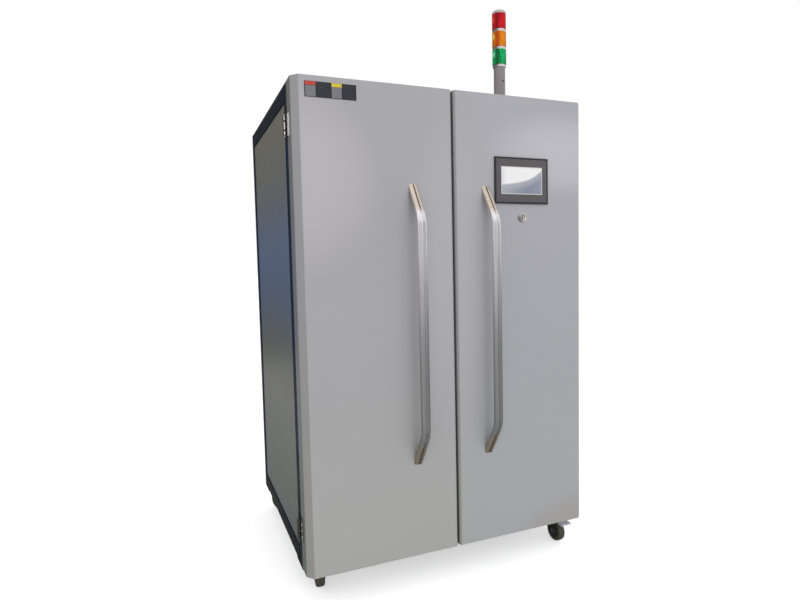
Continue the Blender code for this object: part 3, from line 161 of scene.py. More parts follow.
def ring(inner, outer, low, high, centre, axis="Z", steps=32, edge=0.6):
    profile = [
        (inner, low), (outer - edge, low), (outer, low + edge), (outer, high - edge),
        (outer - edge, high), (inner + edge, high), (inner, high - edge)]
    return lathe(profile, centre, axis, steps)


def rounded(points, radius, steps=4, closed=False):
    """A flat polyline whose corners are arcs."""
    points = [Vector(point) for point in points]
    count = len(points)
    path = [] if closed else [points[0]]
    for index in range(count) if closed else range(1, count - 1):
        corner = points[index]
        into = corner - points[index - 1]
        out = points[(index + 1) % count] - corner
        room = min(into.length, out.length) * 0.48
        into.normalize()
        out.normalize()
        bend = into.angle(out)
        reach = min(radius * math.tan(bend / 2), room)
        if bend < 0.02 or reach <= 0:
            path.append(corner)
            continue
        bend_radius = reach / math.tan(bend / 2)
        centre = corner + (out - into).normalized() * bend_radius / math.cos(bend / 2)
        arm = corner - into * reach - centre
        turn = math.copysign(bend, into.x * out.y - into.y * out.x)
        path += [centre + Matrix.Rotation(turn * step / steps, 2) @ arm for step in range(steps + 1)]
    return path if closed else path + [points[-1]]


def rectangle(x0, x1, z0, z1):
    return [(x0, z0), (x1, z0), (x1, z1), (x0, z1)]


def place(plane, point, depth):
    """A point of a flat outline in the world, with its depth along the third axis."""
    across, up = point
    return {"XY": (across, up, depth), "YZ": (depth, across, up), "XZ": (across, depth, up)}[plane]


def orbit(centre, radius, angle, plane="XY"):
    """A point at an angle around a centre."""
    return Vector(centre) + radius * Vector(place(plane, (math.cos(angle), math.sin(angle)), 0))


def soften(form, radius, angle=30):
    edges = [
        edge for edge in form.edges
        if len(edge.link_faces) == 2 and edge.calc_face_angle(0) > math.radians(angle)]
    return bevel(form, edges, radius)


def slab(outline, low, high, plane="XY", radius=0):
    """A flat outline drawn out from one depth to another."""
    form = skin([[place(plane, point, depth) for point in outline] for depth in (low, high)])
    return soften(form, radius) if radius else form


def window(outer, inner, y0, y1, radius):
    """A flat frame of four mitred bars between two rectangles."""
    rings = [
        [(ox, y1, oz), (ox, y0, oz), (ix, y0, iz), (ix, y1, iz)]
        for (ox, oz), (ix, iz) in zip(rectangle(*outer), rectangle(*inner))]
    return soften(skin(rings, caps=False, loop=True), radius)


def tube(points, radius, sides=10, loop=False):
    """A round wire along a path. A list of radii gives each point its own."""
    points = [Vector(point) for point in points]
    count = len(points)
    rings = []
    normal = None
    for index, point in enumerate(points):
        if loop:
            along = points[(index + 1) % count] - points[index - 1]
        else:
            along = points[min(index + 1, count - 1)] - points[max(index - 1, 0)]
        along.normalize()
        normal = normal or along.orthogonal().normalized()
        normal = (normal - along * normal.dot(along)).normalized()
        across = along.cross(normal)
        reach = radius[index] if isinstance(radius, list) else radius
        rings.append([
            point + reach * (math.cos(angle) * normal + math.sin(angle) * across)
            for angle in around(sides)])
    return skin(rings, loop=loop)


def opened(low, high, axis, radius, segments):
    """A rounded box without the face on one side."""
    form = block(low, high, 0)
    axis = Vector(axis)
    edges = [
        edge for edge in form.edges
        if not any(face.normal.dot(axis) > 0.9 for face in edge.link_faces)]
    bevel(form, edges, radius, segments)
    gone = [face for face in form.faces if face.normal.dot(axis) > 0.99]
    bmesh.ops.delete(form, geom=gone, context="FACES")
    return form


def moved(forms, matrix):
    forms = list(forms)
    for form in forms:
        form.transform(matrix)
    return forms


def screws(places, axis, radius, height):
    """Pan-head screws with sockets."""
    socket = radius * 0.42
    profile = [
        (0, height * 0.45), (socket, height * 0.45), (socket * 1.12, height),
        (radius * 0.62, height * 0.98), (radius * 0.9, height * 0.62), (radius, 0),
        (radius * 0.7, -0.6), (0, -0.6)]
    return [lathe(profile, spot, axis, 14) for spot in places]


def hex_head(centre, axis, radius, height):
    profile = [(0, -0.4), (radius, -0.4), (radius, height * 0.8), (radius * 0.86, height), (0, height)]
    return lathe(profile, centre, axis, 6)


def make(name, forms):
    """One object in metres from forms in millimetres."""
    joined = bmesh.new()
    for form in forms:
        mesh = bpy.data.meshes.new("form")
        form.to_mesh(mesh)
        form.free()
        joined.from_mesh(mesh)
        bpy.data.meshes.remove(mesh)
    joined.transform(Matrix.Scale(MM, 4))
    mesh = bpy.data.meshes.new(name)
    joined.to_mesh(mesh)
    joined.free()
    mesh.polygons.foreach_set("use_smooth", [True] * len(mesh.polygons))
    mesh.set_sharp_from_angle(angle=math.radians(38))
    obj = bpy.data.objects.new(name, mesh)
    scene.collection.objects.link(obj)
    even = obj.modifiers.new("even_shading", "WEIGHTED_NORMAL")
    even.keep_sharp = True
    return obj


def add(node, name, material, *forms):
    """A piece that rides on the body of a CAD node."""
    obj = make(name, forms)
    obj.data.materials.append(material)
    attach(obj, nodes[node]["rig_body"])
    return obj


def dress(node, name, material, *forms):
    """A piece that stands for a CAD node."""
    obj = add(node, name, material, *forms)
    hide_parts(node)
    return obj


def keep(node, material, edge):
    """A CAD node that stays, with eased edges and its own finish."""
    obj = nodes[node]
    obj.data.materials.clear()
    obj.data.materials.append(material)
    weld = obj.modifiers.new("weld", "WELD")
    weld.merge_threshold = 0.01 * MM
    edges = obj.modifiers.new("edges", "BEVEL")
    edges.width = edge * MM
    edges.segments = 2
    edges.limit_method = "ANGLE"
    edges.angle_limit = math.radians(40)
    edges.harden_normals = False


def solidified(obj, thickness=SHEET, offset=-1):
    """Sheet metal: the piece's faces get a thickness before its shading is evened."""
    sheet = obj.modifiers.new("sheet", "SOLIDIFY")
    sheet.thickness = thickness * MM
    sheet.offset = offset
    obj.modifiers.move(1, 0)


# Finishes: a tone is red, green and blue from 0 to 255, as a screen shows it

def linear(tone):
    """A tone as the renderer counts light."""
    return [
        value / 12.92 if value <= 0.04045 else ((value + 0.055) / 1.055) ** 2.4
        for value in (channel / 255 for channel in tone)]


class Nodes:
    """Short calls for the node tree of a material or world."""

    def __init__(self, owner):
        owner.use_nodes = True
        self.tree = owner.node_tree
        self.shader = self.tree.nodes.get("Principled BSDF")

    def new(self, kind, **settings):
        node = self.tree.nodes.new(kind)
        for key, value in settings.items():
            setattr(node, key, value)
        return node

    def link(self, source, target):
        self.tree.links.new(source, target)

    def fill(self, socket, value):
        """Gives a socket a number, a tone or the value of another node."""
        if isinstance(value, (int, float)):
            socket.default_value = value
        elif isinstance(value, tuple):
            socket.default_value = (*linear(value), 1)
        else:
            self.link(value, socket)

    def set(self, values):
        """Constant values on the shader's sockets."""
        for name, value in values.items():
            self.shader.inputs[name].default_value = value

    def math(self, operation, *values):
        node = self.new("ShaderNodeMath", operation=operation)
        for socket, value in zip(node.inputs, values):
            self.fill(socket, value)
        return node.outputs[0]

    def times(self, first, second):
        return self.math("MULTIPLY", first, second)

    def coordinate(self, name):
        return self.new("ShaderNodeTexCoord").outputs[name]

    def noise(self, scale, stretch=(1, 1, 1), detail=2, roughness=0.5):
        mapping = self.new("ShaderNodeMapping")
        mapping.inputs["Scale"].default_value = stretch
        self.link(self.coordinate("Object"), mapping.inputs["Vector"])
        noise = self.new("ShaderNodeTexNoise")
        noise.inputs["Scale"].default_value = scale
        noise.inputs["Detail"].default_value = detail
        noise.inputs["Roughness"].default_value = roughness
        self.link(mapping.outputs["Vector"], noise.inputs["Vector"])
        return noise.outputs["Fac"]

    def span(self, value, low, high, start=0.3, end=0.7, smooth=False):
        """A value from start to end becomes one from low to high."""
        node = self.new("ShaderNodeMapRange", interpolation_type="SMOOTHSTEP" if smooth else "LINEAR")
        self.link(value, node.inputs["Value"])
        for name, limit in (("From Min", start), ("From Max", end), ("To Min", low), ("To Max", high)):
            node.inputs[name].default_value = limit
        return node.outputs["Result"]

    def mix(self, factor, first, second, blend="MIX"):
        node = self.new("ShaderNodeMix", data_type="RGBA", blend_type=blend)
        for socket, value in zip((node.inputs[0], node.inputs[6], node.inputs[7]), (factor, first, second)):
            self.fill(socket, value)
        return node.outputs[2]

    def shade(self, colour, factor):
        return self.mix(1.0, colour, factor, "MULTIPLY")

    def axis(self, name):
        node = self.new("ShaderNodeSeparateXYZ")
        self.link(self.coordinate("Object"), node.inputs[0])
        return node.outputs[name]

    def rise(self, name, start, end, smooth=False):
        """From 0 to 1 along an axis."""
        return self.span(self.axis(name), 0, 1, start, end, smooth)

    def fall(self, name, start, end, smooth=False):
        """From 1 to 0 along an axis."""
        return self.span(self.axis(name), 1, 0, start, end, smooth)

    def across(self, centre, reach, turn):
        """How far a point lies to one side of an upright axis, from 0 to 1 over the reach."""
        x = self.times(self.math("SUBTRACT", self.axis("X"), centre.x), math.cos(turn) / reach)
        y = self.times(self.math("SUBTRACT", self.axis("Y"), centre.y), math.sin(turn) / reach)
        return self.span(self.math("SUBTRACT", x, y), 0, 1, -1, 1)

    def facing(self, direction, start=-1, end=1):
        """From 0 to 1 as the surface turns to a direction."""
        node = self.new("ShaderNodeVectorMath", operation="DOT_PRODUCT")
        self.link(self.coordinate("Normal"), node.inputs[0])
        node.inputs[1].default_value = Vector(direction).normalized()
        return self.span(node.outputs["Value"], 0, 1, start, end)

    def patch(self, x, z, reach_x, reach_z):
        """A soft round patch on the front, 1 in its middle and 0 at its edge."""
        parts = []
        for name, centre, reach in (("X", x, reach_x), ("Z", z, reach_z)):
            offset = self.times(self.math("SUBTRACT", self.axis(name), centre), 1 / reach)
            parts.append(self.times(offset, offset))
        return self.span(self.math("ADD", *parts), 1, 0, 0, 1, smooth=True)

    def ramp(self, value, stops):
        node = self.new("ShaderNodeValToRGB")
        ramp = node.color_ramp
        ramp.interpolation = "B_SPLINE"
        while len(ramp.elements) < len(stops):
            ramp.elements.new(0.5)
        for element, (position, tone) in zip(ramp.elements, stops.items()):
            element.position = position
            element.color = (*linear(tone), 1)
        self.link(value, node.inputs[0])
        return node.outputs[0]


def finish(
        name, colour, roughness, metallic=0, specular=0.5, mottle=(0.03, 5), grain=None,
        play=(0.04, 30), bump=None, stretch=(1, 1, 1), coat=0, edge=1):
    """A finish with drifting colour, uneven gloss and a fine relief, all from node patterns.

    The colour is a tone or a function that paints one. Mottle, grain, play of the roughness and
    bump are each an amount and the scale of its pattern.
    """
    material = bpy.data.materials.new(name)
    tree = Nodes(material)
    inputs = tree.shader.inputs
    drift = tree.span(tree.noise(mottle[1], detail=3), 1 - mottle[0], 1 + mottle[0])
    base = tree.shade(colour(tree) if callable(colour) else colour, drift)
    if grain:
        fine = tree.span(tree.noise(grain[1], stretch, 3, 0.6), 1 - grain[0], 1 + grain[0])
        base = tree.shade(base, fine)
    tree.link(base, inputs["Base Color"])
    low, high = max(roughness - play[0], 0.02), roughness + play[0]
    tree.link(tree.span(tree.noise(play[1], stretch, 3, 0.6), low, high), inputs["Roughness"])
    if bump:
        node = tree.new("ShaderNodeBump")
        node.inputs["Distance"].default_value = bump[0] * MM
        tree.link(tree.noise(bump[1], stretch, 2), node.inputs["Height"])
        tree.link(node.outputs[0], inputs["Normal"])
    tree.set({
        "Metallic": metallic, "Specular IOR Level": specular, "Specular Tint": (edge, edge, edge, 1),
        "Coat Weight": coat, "Coat Roughness": 0.04})
    return material


# Painted light on the doors in soft fields, three painted highlights and one painted warm shade: the middle
# along X and Z, the reach along X and Z, and the tone
DOOR_PAINTED_LIGHT_FIELDS = {
    (-0.48, 1.25, 0.26, 0.30): (191, 188, 191),
    (0.42, 1.355, 0.34, 0.15): (198, 197, 204),
    (0, 0.95, 0.18, 0.60): (185, 184, 188),
    (0.47, 0.08, 0.28, 0.14): (177, 173, 171),
}


def door_colour_with_painted_light(tree):
    """Pale grey that drifts with height and is bluer on the right door, with painted highlights and a
    painted shade in soft fields, painted shade on the chamfer, and painted shade and reflection on the
    flanks.
    """
    height = tree.rise("Z", 0.2, 1.1)
    left = tree.mix(height, (182, 182, 181), (176, 175, 180))
    right = tree.mix(height, (179, 181, 185), (178, 178, 184))
    front = tree.mix(tree.rise("X", 0, 0.1), left, right)
    flat = tree.facing((0, -1, 0), 0.8, 0.95)
    # Painted highlights and a painted shade in the soft fields on the front.
    for field, tone in DOOR_PAINTED_LIGHT_FIELDS.items():
        front = tree.mix(tree.times(flat, tree.patch(*field)), front, tone)
    # Painted shade: the chamfer turned toward -X is darker than the front.
    chamfer = tree.mix(height, (163, 162, 160), (162, 161, 164))
    front = tree.mix(tree.facing((-1, -1, 0), 0.9, 0.98), front, chamfer)
    # Painted shade and a painted reflection on the flanks: dark at the foot, a blue band above.
    flank = tree.ramp(tree.rise("Z", 0.2, 1.5), {
        0.0: (104, 112, 108), 0.3: (130, 133, 129), 0.6: (128, 134, 148), 0.9: (130, 130, 126)})
    return tree.mix(tree.facing((-1, 0, 0), 0.75, 0.95), front, flank)


def navy_with_painted_light(tree):
    """Navy, with painted shade darkening the foot of the side and a painted reflection greying the top of
    the side.
    """
    # Painted shade at the foot and painted reflection at the top, on faces turned toward -X only.
    side = tree.mix(tree.rise("Z", 0.2, 0.6), (10, 18, 24), (30, 42, 64))
    side = tree.mix(tree.rise("Z", 1.3, 1.5), side, (42, 46, 54))
    return tree.mix(tree.facing((-1, 0, 0), 0.75, 0.95), (27, 39, 62), side)


def panel_painted_reflection(tree):
    """Grey gloss with a painted reflection: darker at the foot, a blue band at mid height, and a browner
    grey toward the top.
    """
    # Painted reflection of the surroundings, by height.
    return tree.ramp(tree.rise("Z", 0.15, 1.5), {
        0.0: (92, 98, 95), 0.15: (98, 102, 98), 0.32: (122, 124, 116), 0.44: (112, 114, 108),
        0.56: (102, 119, 148), 0.70: (104, 124, 160), 0.82: (122, 123, 119), 1.0: (137, 134, 122)})


def handle_metal_painted_reflection(node):
    """Drawn aluminium with painted reflections: paler toward the top, duller beyond the groove and tinted on
    the slopes, with painted shade in the groove on the slopes.
    """
    low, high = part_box(node)
    groove = (low.x + high.x) / 2
    slope_top, slope_foot = high.z - 0.094, low.z + 0.085
    # Painted shade: the right handle is a little darker.
    level = 0.96 if node == "right_door_handle" else 1.0

    def paint(tree):
        upper = tree.rise("Z", slope_top, slope_top + 0.025, smooth=True)
        lower = tree.fall("Z", slope_foot - 0.030, slope_foot, smooth=True)
        # Painted reflection, paler toward the top of the straight part.
        straight = tree.ramp(tree.rise("Z", slope_foot + 0.025, slope_top), {
            0.09: (166, 166, 167), 0.26: (166, 166, 167), 0.45: (177, 177, 179),
            0.60: (204, 202, 205), 0.80: (228, 225, 228), 0.97: (240, 236, 240)})
        # Painted reflection, a beige and brown tint on the upper and lower slopes.
        warm = tree.mix(upper, straight, (215, 202, 190))
        warm = tree.mix(lower, warm, (178, 166, 148))
        # Painted shade: a dark line in the groove on the slopes.
        seam = tree.math("ABSOLUTE", tree.math("SUBTRACT", tree.axis("X"), groove + 0.0010))
        seam = tree.times(tree.span(seam, 1, 0, 0.0008, 0.0018), tree.math("MAXIMUM", upper, lower))
        warm = tree.mix(seam, warm, (84, 66, 54))
        # Painted shade beyond the groove.
        beyond = tree.span(tree.axis("X"), level, 0.84 * level, groove, groove + 0.002)
        return tree.shade(warm, beyond)
    return finish(
        node + "_aluminium", paint, 0.24, metallic=1, mottle=(0.03, 8), grain=(0.16, 260),
        play=(0.07, 500), bump=(0.01, 1200), stretch=(1, 1, 0.01))


def lock_painted_light(tree):
    """Plating with a painted highlight facing up and right, and painted shade below and on the left."""
    # Painted highlight and painted shade by the way the surface faces.
    plated = tree.ramp(tree.facing((-0.6, 0.2, -0.75)), {
        0.0: (255, 253, 253), 0.5: (250, 244, 242), 0.60: (214, 196, 188), 0.68: (84, 62, 56),
        1.0: (36, 28, 28)})
    # Painted shade toward the left of the key.
    key_x = middle("key_switch_core").x * MM
    return tree.shade(plated, tree.span(tree.axis("X"), 0.68, 1, key_x - 0.010, key_x + 0.006))


def barrel_painted_reflection(tree):
    """Plated steel with a painted reflection, a bright band between dark edges, and painted shade on the
    lower hinges.
    """
    # Painted reflection: dark edges and a bright band.
    plated = tree.ramp(tree.facing((0.9, -0.43, 0)), {
        0.0: (30, 26, 26), 0.30: (50, 45, 45), 0.42: (255, 252, 252), 0.52: (255, 252, 252),
        0.62: (60, 52, 52), 1.0: (24, 20, 20)})
    # Painted shade toward the floor.
    return tree.mix(tree.rise("Z", 0.3, 1.0), (92, 90, 86), plated)


def leaf_painted_shade(tree):
    """Bright plating with painted shade on the lower hinges."""
    # Painted shade toward the floor.
    return tree.mix(tree.rise("Z", 0.7, 1.2), (120, 118, 114), (250, 247, 247))


def fibre_colour(tree):
    """Pale strands with scorched fields."""
    strands = tree.span(tree.noise(120, (1, 1, 6), 4, 0.7), 0, 1)
    scorch = tree.span(tree.noise(7, detail=3), 0, 1, 0.52, 0.75)
    return tree.mix(scorch, tree.mix(strands, (226, 220, 206), (240, 236, 226)), (216, 202, 176))


def rod_colour(tree):
    """Dark hot zone below the lining's roof, and bare metal-coated ends above it."""
    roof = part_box("furnace_lining")[1].z
    stain = tree.span(tree.noise(60, (1, 1, 0.3), 3), 0, 1)
    hot = tree.mix(stain, (92, 88, 84), (118, 110, 102))
    return tree.mix(tree.rise("Z", roof - 0.005, roof + 0.005), hot, (186, 188, 192))


def screen_painted_reflection(tree):
    """A painted reflection on the glass: white above a curved edge that climbs to the right, blue-grey below
    it.
    """
    low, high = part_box("touch_panel_screen")
    across = tree.rise("X", low.x, high.x)
    up = tree.rise("Z", low.z, high.z)
    climb = tree.times(tree.math("POWER", across, 4), 0.36)
    edge = tree.math("ADD", tree.math("ADD", tree.times(across, 0.22), 0.32), climb)
    above = tree.math("SUBTRACT", up, edge)
    under = tree.ramp(across, {0.0: (176, 184, 192), 0.62: (124, 134, 154), 1.0: (160, 162, 184)})
    veil = tree.mix(tree.span(above, 0, 1, -0.30, 0), under, (186, 187, 196))
    over = tree.mix(tree.span(across, 0, 1, 0.0, 0.14), (232, 232, 238), (255, 255, 255))
    # Painted reflection: white above the edge, blue-grey below.
    return tree.mix(tree.span(above, 0, 1, -0.03, 0.05, smooth=True), veil, over)


def steel(name, tone, roughness, metallic, mottle=0.08, grain=0.06):
    """Plated or bare metal with fine wear."""
    return finish(
        name, tone, roughness, metallic, mottle=(mottle, 60), grain=(grain, 500), play=(0.1, 90),
        bump=(0.01, 900))


def plastic(name, colour, roughness, mottle, bump=(0.02, 900), play=0.05, specular=0.5):
    """Moulded plastic with an even skin."""
    return finish(name, colour, roughness, 0, specular, mottle, play=(play, 120), bump=bump)


def matt(name, colour, roughness, mottle, grain, bump, play=0.08, specular=0.3):
    """Rubber, ceramic and fibre, whose gloss drifts over wide fields."""
    return finish(name, colour, roughness, 0, specular, mottle, grain, (play, 30), bump)


door_paint = finish(
    "door_powder_coat", door_colour_with_painted_light, 0.42, specular=0.35, mottle=(0.012, 2.2), grain=(0.012, 260),
    play=(0.04, 40), bump=(0.03, 420))
navy_paint = finish(
    "navy_powder_coat", navy_with_painted_light, 0.45, specular=0.04, mottle=(0.05, 3), grain=(0.03, 260),
    play=(0.06, 30), bump=(0.04, 420))
panel_paint = finish(
    "panel_gloss_coat", panel_painted_reflection, 0.36, specular=0.4, mottle=(0.02, 2.5), grain=(0.012, 260),
    play=(0.03, 30), bump=(0.015, 420))
rear_paint = finish(
    "rear_panel_coat", (112, 113, 112), 0.36, mottle=(0.04, 5), grain=(0.02, 400), play=(0.05, 30),
    bump=(0.04, 420))
tower_coat = finish(
    "tower_tube_coat", (148, 139, 141), 0.4, metallic=0.15, mottle=(0.04, 20), grain=(0.05, 500),
    play=(0.06, 30), bump=(0.01, 900), stretch=(1, 1, 0.05))
lock_plating = finish(
    "lock_plating", lock_painted_light, 0.2, metallic=0.3, mottle=(0.03, 40), play=(0.05, 160),
    bump=(0.004, 900), edge=0.3)
barrel_chrome = finish(
    "barrel_chrome", barrel_painted_reflection, 0.3, metallic=0.8, mottle=(0.06, 120), play=(0.08, 160),
    bump=(0.006, 900), edge=0)
leaf_steel = finish(
    "leaf_steel", leaf_painted_shade, 0.35, metallic=0.2, mottle=(0.06, 90), grain=(0.05, 500),
    play=(0.08, 160), bump=(0.006, 900))
pedal_steel = steel("pedal_steel", (222, 225, 230), 0.4, 0.25, grain=0.05)
zinc = steel("zinc_plate", (188, 190, 194), 0.34, 1, 0.07, 0.05)
dull_steel = steel("dull_steel", (112, 110, 104), 0.45, 0.7)
# Dark steel for the forks; the dark tone partly stands in for the shade under the cabinet.
fork_steel = steel("fork_steel", (70, 68, 68), 0.4, 0.6)
galvanised = finish(
    "galvanised_sheet", (176, 180, 184), 0.4, metallic=0.9, mottle=(0.1, 30), grain=(0.06, 140),
    play=(0.1, 60), bump=(0.01, 500))
stainless = finish(
    "brushed_stainless", (192, 192, 190), 0.3, metallic=1, mottle=(0.04, 10), grain=(0.07, 700),
    play=(0.08, 500), bump=(0.01, 900), stretch=(1, 1, 0.03))
black_plastic = plastic("black_plastic", (34, 33, 35), 0.45, (0.05, 30), (0.03, 1400), play=0.06)
bezel_plastic = plastic("bezel_plastic", (91, 86, 90), 0.42, (0.03, 20), (0.03, 1400))
grey_plastic = plastic("grey_plastic", (150, 150, 150), 0.5, (0.03, 30), (0.03, 1200))
white_plastic = plastic("white_plastic", (222, 220, 216), 0.38, (0.03, 40))
cap_plastic = plastic("cap_plastic", (196, 188, 186), 0.42, (0.06, 60), specular=0.3)
hub_plastic = matt("hub_plastic", (64, 64, 62), 0.55, (0.08, 60), None, (0.04, 900), specular=0.5)
rubber = finish(
    "grey_rubber", (78, 76, 62), 0.7, mottle=(0.15, 60), grain=(0.12, 600), play=(0.1, 120),
    bump=(0.1, 900))
seal_rubber = matt("seal_rubber", (28, 28, 30), 0.75, (0.1, 40), None, (0.1, 900), specular=0.5)
fibre = matt("ceramic_fibre", fibre_colour, 0.92, (0.03, 14), (0.05, 260), (0.4, 260), 0.05, 0.2)
clay = matt("fired_clay", (196, 172, 146), 0.82, (0.12, 26), (0.09, 300), (0.25, 240))
ceramic = matt("holder_ceramic", (222, 216, 204), 0.7, (0.05, 40), (0.04, 400), (0.1, 400))
hot_rod = finish(
    "silicon_carbide", rod_colour, 0.6, metallic=0.15, mottle=(0.08, 60), grain=(0.1, 700),
    play=(0.1, 30), bump=(0.12, 700))
braid = finish(
    "braided_strap", (200, 202, 206), 0.4, metallic=1, mottle=(0.06, 80), grain=(0.2, 700),
    play=(0.1, 300), bump=(0.2, 900), stretch=(1, 1, 4))
copper = finish(
    "enamelled_copper", (176, 92, 48), 0.35, metallic=0.85, mottle=(0.08, 30), grain=(0.18, 320),
    play=(0.08, 200), bump=(0.25, 320), stretch=(0.05, 0.05, 1))
lamination = finish(
    "core_laminations", (92, 96, 102), 0.45, metallic=0.8, mottle=(0.08, 20), grain=(0.3, 420),
    play=(0.1, 200), bump=(0.2, 420), stretch=(0.03, 1, 0.03))
tape = matt("glass_tape", (210, 200, 168), 0.7, (0.05, 30), (0.12, 500), (0.1, 500), 0.06, 0.5)
screen_glass = finish(
    "screen_glass", screen_painted_reflection, 0.12, mottle=(0.01, 12), play=(0.03, 60), coat=0.5)

LENS_RADIUS = 25.5
# The turn of the side from which painted light falls on the tower.
PAINTED_LIGHT_TURN = math.radians(29)


def lens(node, glint_tone, colour, deep):
    """Clear ribbed plastic: a painted glint on one edge, a painted shade band beside it and fine upright
    streaks.
    """
    centre = middle(node) * MM

    def paint(tree):
        side = tree.across(centre, LENS_RADIUS * MM, PAINTED_LIGHT_TURN)
        # Painted shade band beside the glint edge, with the lens colour around it.
        bands = tree.ramp(side, {
            0.0: colour, 0.14: colour, 0.26: deep, 0.42: deep, 0.60: colour, 0.85: colour, 1.0: deep})
        streaks = tree.mix(tree.span(tree.noise(260, (1, 1, 0.1)), 0, 0.7, 0.42, 0.62), bands, deep)
        # Painted glint at the middle height of the lens, on one edge.
        lit = tree.times(
            tree.rise("Z", centre.z - 0.014, centre.z - 0.004, smooth=True),
            tree.fall("Z", centre.z + 0.004, centre.z + 0.014, smooth=True))
        edge = tree.times(lit, tree.span(side, 1, 0, 0.10, 0.22, smooth=True))
        return tree.mix(edge, streaks, glint_tone)
    return finish(
        node.removeprefix("tower_"), paint, 0.34, specular=0.15, mottle=(0.05, 60), play=(0.06, 30),
        bump=(0.06, 300))


def spacer_painted_shade(tree):
    """Milky rings with painted shade on one side."""
    side = tree.across(middle("tower_tube") * MM, LENS_RADIUS * MM, PAINTED_LIGHT_TURN)
    # Painted shade on one side of the rings.
    return tree.ramp(side, {
        0.0: (150, 140, 138), 0.34: (120, 108, 106), 0.46: (236, 234, 232), 0.9: (228, 226, 224),
        1.0: (170, 168, 166)})


spacer_plastic = plastic("spacer_plastic", spacer_painted_shade, 0.4, (0.03, 40), specular=0.3)


# Doors

HINGE_FOLD, GAP_FOLD, RETURN_FLANGE = (20, 22), 7, 16
UPRIGHT_BEND, RIM_BEND = 2.8, 2.2
SEAL_INSET, SEAL_WIDTH = 3.5, 10
HANDLE_THICK, HANDLE_BEND, HALF_STRAIGHT = 12, 100, 322.5
HAT = [(-30, 0), (-18, 0), (-12, 16), (12, 16), (18, 0), (30, 0)]
STIFFENERS = {"left_door": (240, 460, 620), "right_door": (240, 520, 800, 1020, 1420)}


def door_pan(node, side):
    """A folded pan with bevelled front edges and return flanges at the back."""
    low, high = box(node)
    hinge_x, gap_x = (low.x, high.x) if side < 0 else (high.x, low.x)
    form = slab([
        (hinge_x, high.y), (hinge_x, low.y + HINGE_FOLD[1]), (hinge_x - side * HINGE_FOLD[0], low.y),
        (gap_x + side * GAP_FOLD, low.y), (gap_x, low.y + GAP_FOLD), (gap_x, high.y)], low.z, high.z)

    def rise(edge):
        return abs(edge.verts[0].co.z - edge.verts[1].co.z)

    upright = [edge for edge in form.edges if rise(edge) > 1000 and edge.verts[0].co.y < high.y - 1]
    bevel(form, upright, UPRIGHT_BEND, 3)
    rims = [
        edge for edge in form.edges
        if rise(edge) < 1 and not all(vert.co.y > high.y - 0.5 for vert in edge.verts)]
    bevel(form, rims, RIM_BEND)
    back = max((face for face in form.faces if face.normal.y > 0.9), key=lambda face: face.calc_area())
    bmesh.ops.inset_region(form, faces=[back], thickness=RETURN_FLANGE, use_even_offset=True)
    bmesh.ops.delete(form, geom=[back], context="FACES")
    return form


def seal(node):
    """Four strips on the return flanges."""
    low, high = box(node, (SEAL_INSET, 0, SEAL_INSET))
    x0, x1 = low.x + SEAL_WIDTH, high.x - SEAL_WIDTH
    z0, z1 = low.z + SEAL_WIDTH, high.z - SEAL_WIDTH
    strips = [
        (low.x, x0, low.z, high.z), (x1, high.x, low.z, high.z), (x0, x1, low.z, z0),
        (x0, x1, z1, high.z)]
    return [
        block((left, high.y - 0.2, bottom), (right, high.y + 1.4, top), 0.5)
        for left, right, bottom, top in strips]


def stiffeners(node):
    """Hat-shaped ribs on the inside of the door's face."""
    low, high = box(node)
    inner = low.y + SHEET + 0.2
    for height in STIFFENERS[node]:
        section = [(inner + up, height + across) for across, up in HAT]
        section += [(inner + max(up - 1.5, 1.5), height + across * 0.96) for across, up in HAT[::-1]]
        yield slab(section, low.x + 24, high.x - 24, "YZ")


def bow(node):
    """Two ribs with a groove between them, swept along the bow."""
    low, high = box(node)
    centre = middle(node)
    half_length, standoff = (high.z - low.z) / 2, high.y - low.y
    slope = Vector((standoff, half_length - HALF_STRAIGHT))
    end_cut = HANDLE_THICK * slope.length / slope.x
    bend_shift = HANDLE_THICK * (slope.length - slope.y) / slope.x
    outer = [(0, half_length), (-standoff, HALF_STRAIGHT)]
    inner = [(0, half_length - end_cut), (HANDLE_THICK - standoff, HALF_STRAIGHT - bend_shift)]
    near_path, far_path = (
        rounded(half + [(out, -up) for out, up in half[::-1]], radius, 12)
        for half, radius in ((inner, HANDLE_BEND - HANDLE_THICK), (outer, HANDLE_BEND)))
    half = [
        (0, 10.2), (0.5, 10.3), (0.8, 11.2), (1.3, 11.7), (2.6, 12), (7.0, 12), (10.0, 11.7), (12.4, 10.7),
        (13.7, 8.9), (14, 7), (14, 1.2), (13.2, 0.2), (11.5, 0), (7.4, 0), (6.8, 0.6), (6.6, 4.0),
        (6.0, 4.8), (0, 4.8)]
    section = half + [(-across, up) for across, up in half[-2:0:-1]]
    rings = []
    for near, far in zip(near_path, far_path):
        spots = [(across, near + (far - near) * up / HANDLE_THICK) for across, up in section]
        rings.append([(centre.x + across, high.y + spot.x, centre.z + spot.y) for across, spot in spots])
    return skin(rings)


for hand, side in SIDES:
    door = hand + "_door"
    solidified(dress(door, door + "_pan", door_paint, door_pan(door, side)))
    add(door, door + "_seal", seal_rubber, *seal(door))
for door in STIFFENERS:
    add(door, door + "_stiffeners", door_paint, *stiffeners(door))
for handle in ("left_door_handle", "right_door_handle"):
    dress(handle, handle + "_bar", handle_metal_painted_reflection(handle), bow(handle))


# Frame

POST, RAIL, TUBE = 42, 50, 40
CASTER_PLATE, BOLT_PITCH = 82, 62
body_bottom, body_top = (corner.z for corner in box("left_door"))


def bead(start, end, radius):
    """A weld bead with even ripples."""
    start, end = Vector(start), Vector(end)
    steps = int((end - start).length / 4.2)
    points = [start.lerp(end, step / steps) for step in range(steps + 1)]
    return tube(points, [radius * (1 + 0.22 * math.sin(step * 2.4)) for step in range(steps + 1)], 8)


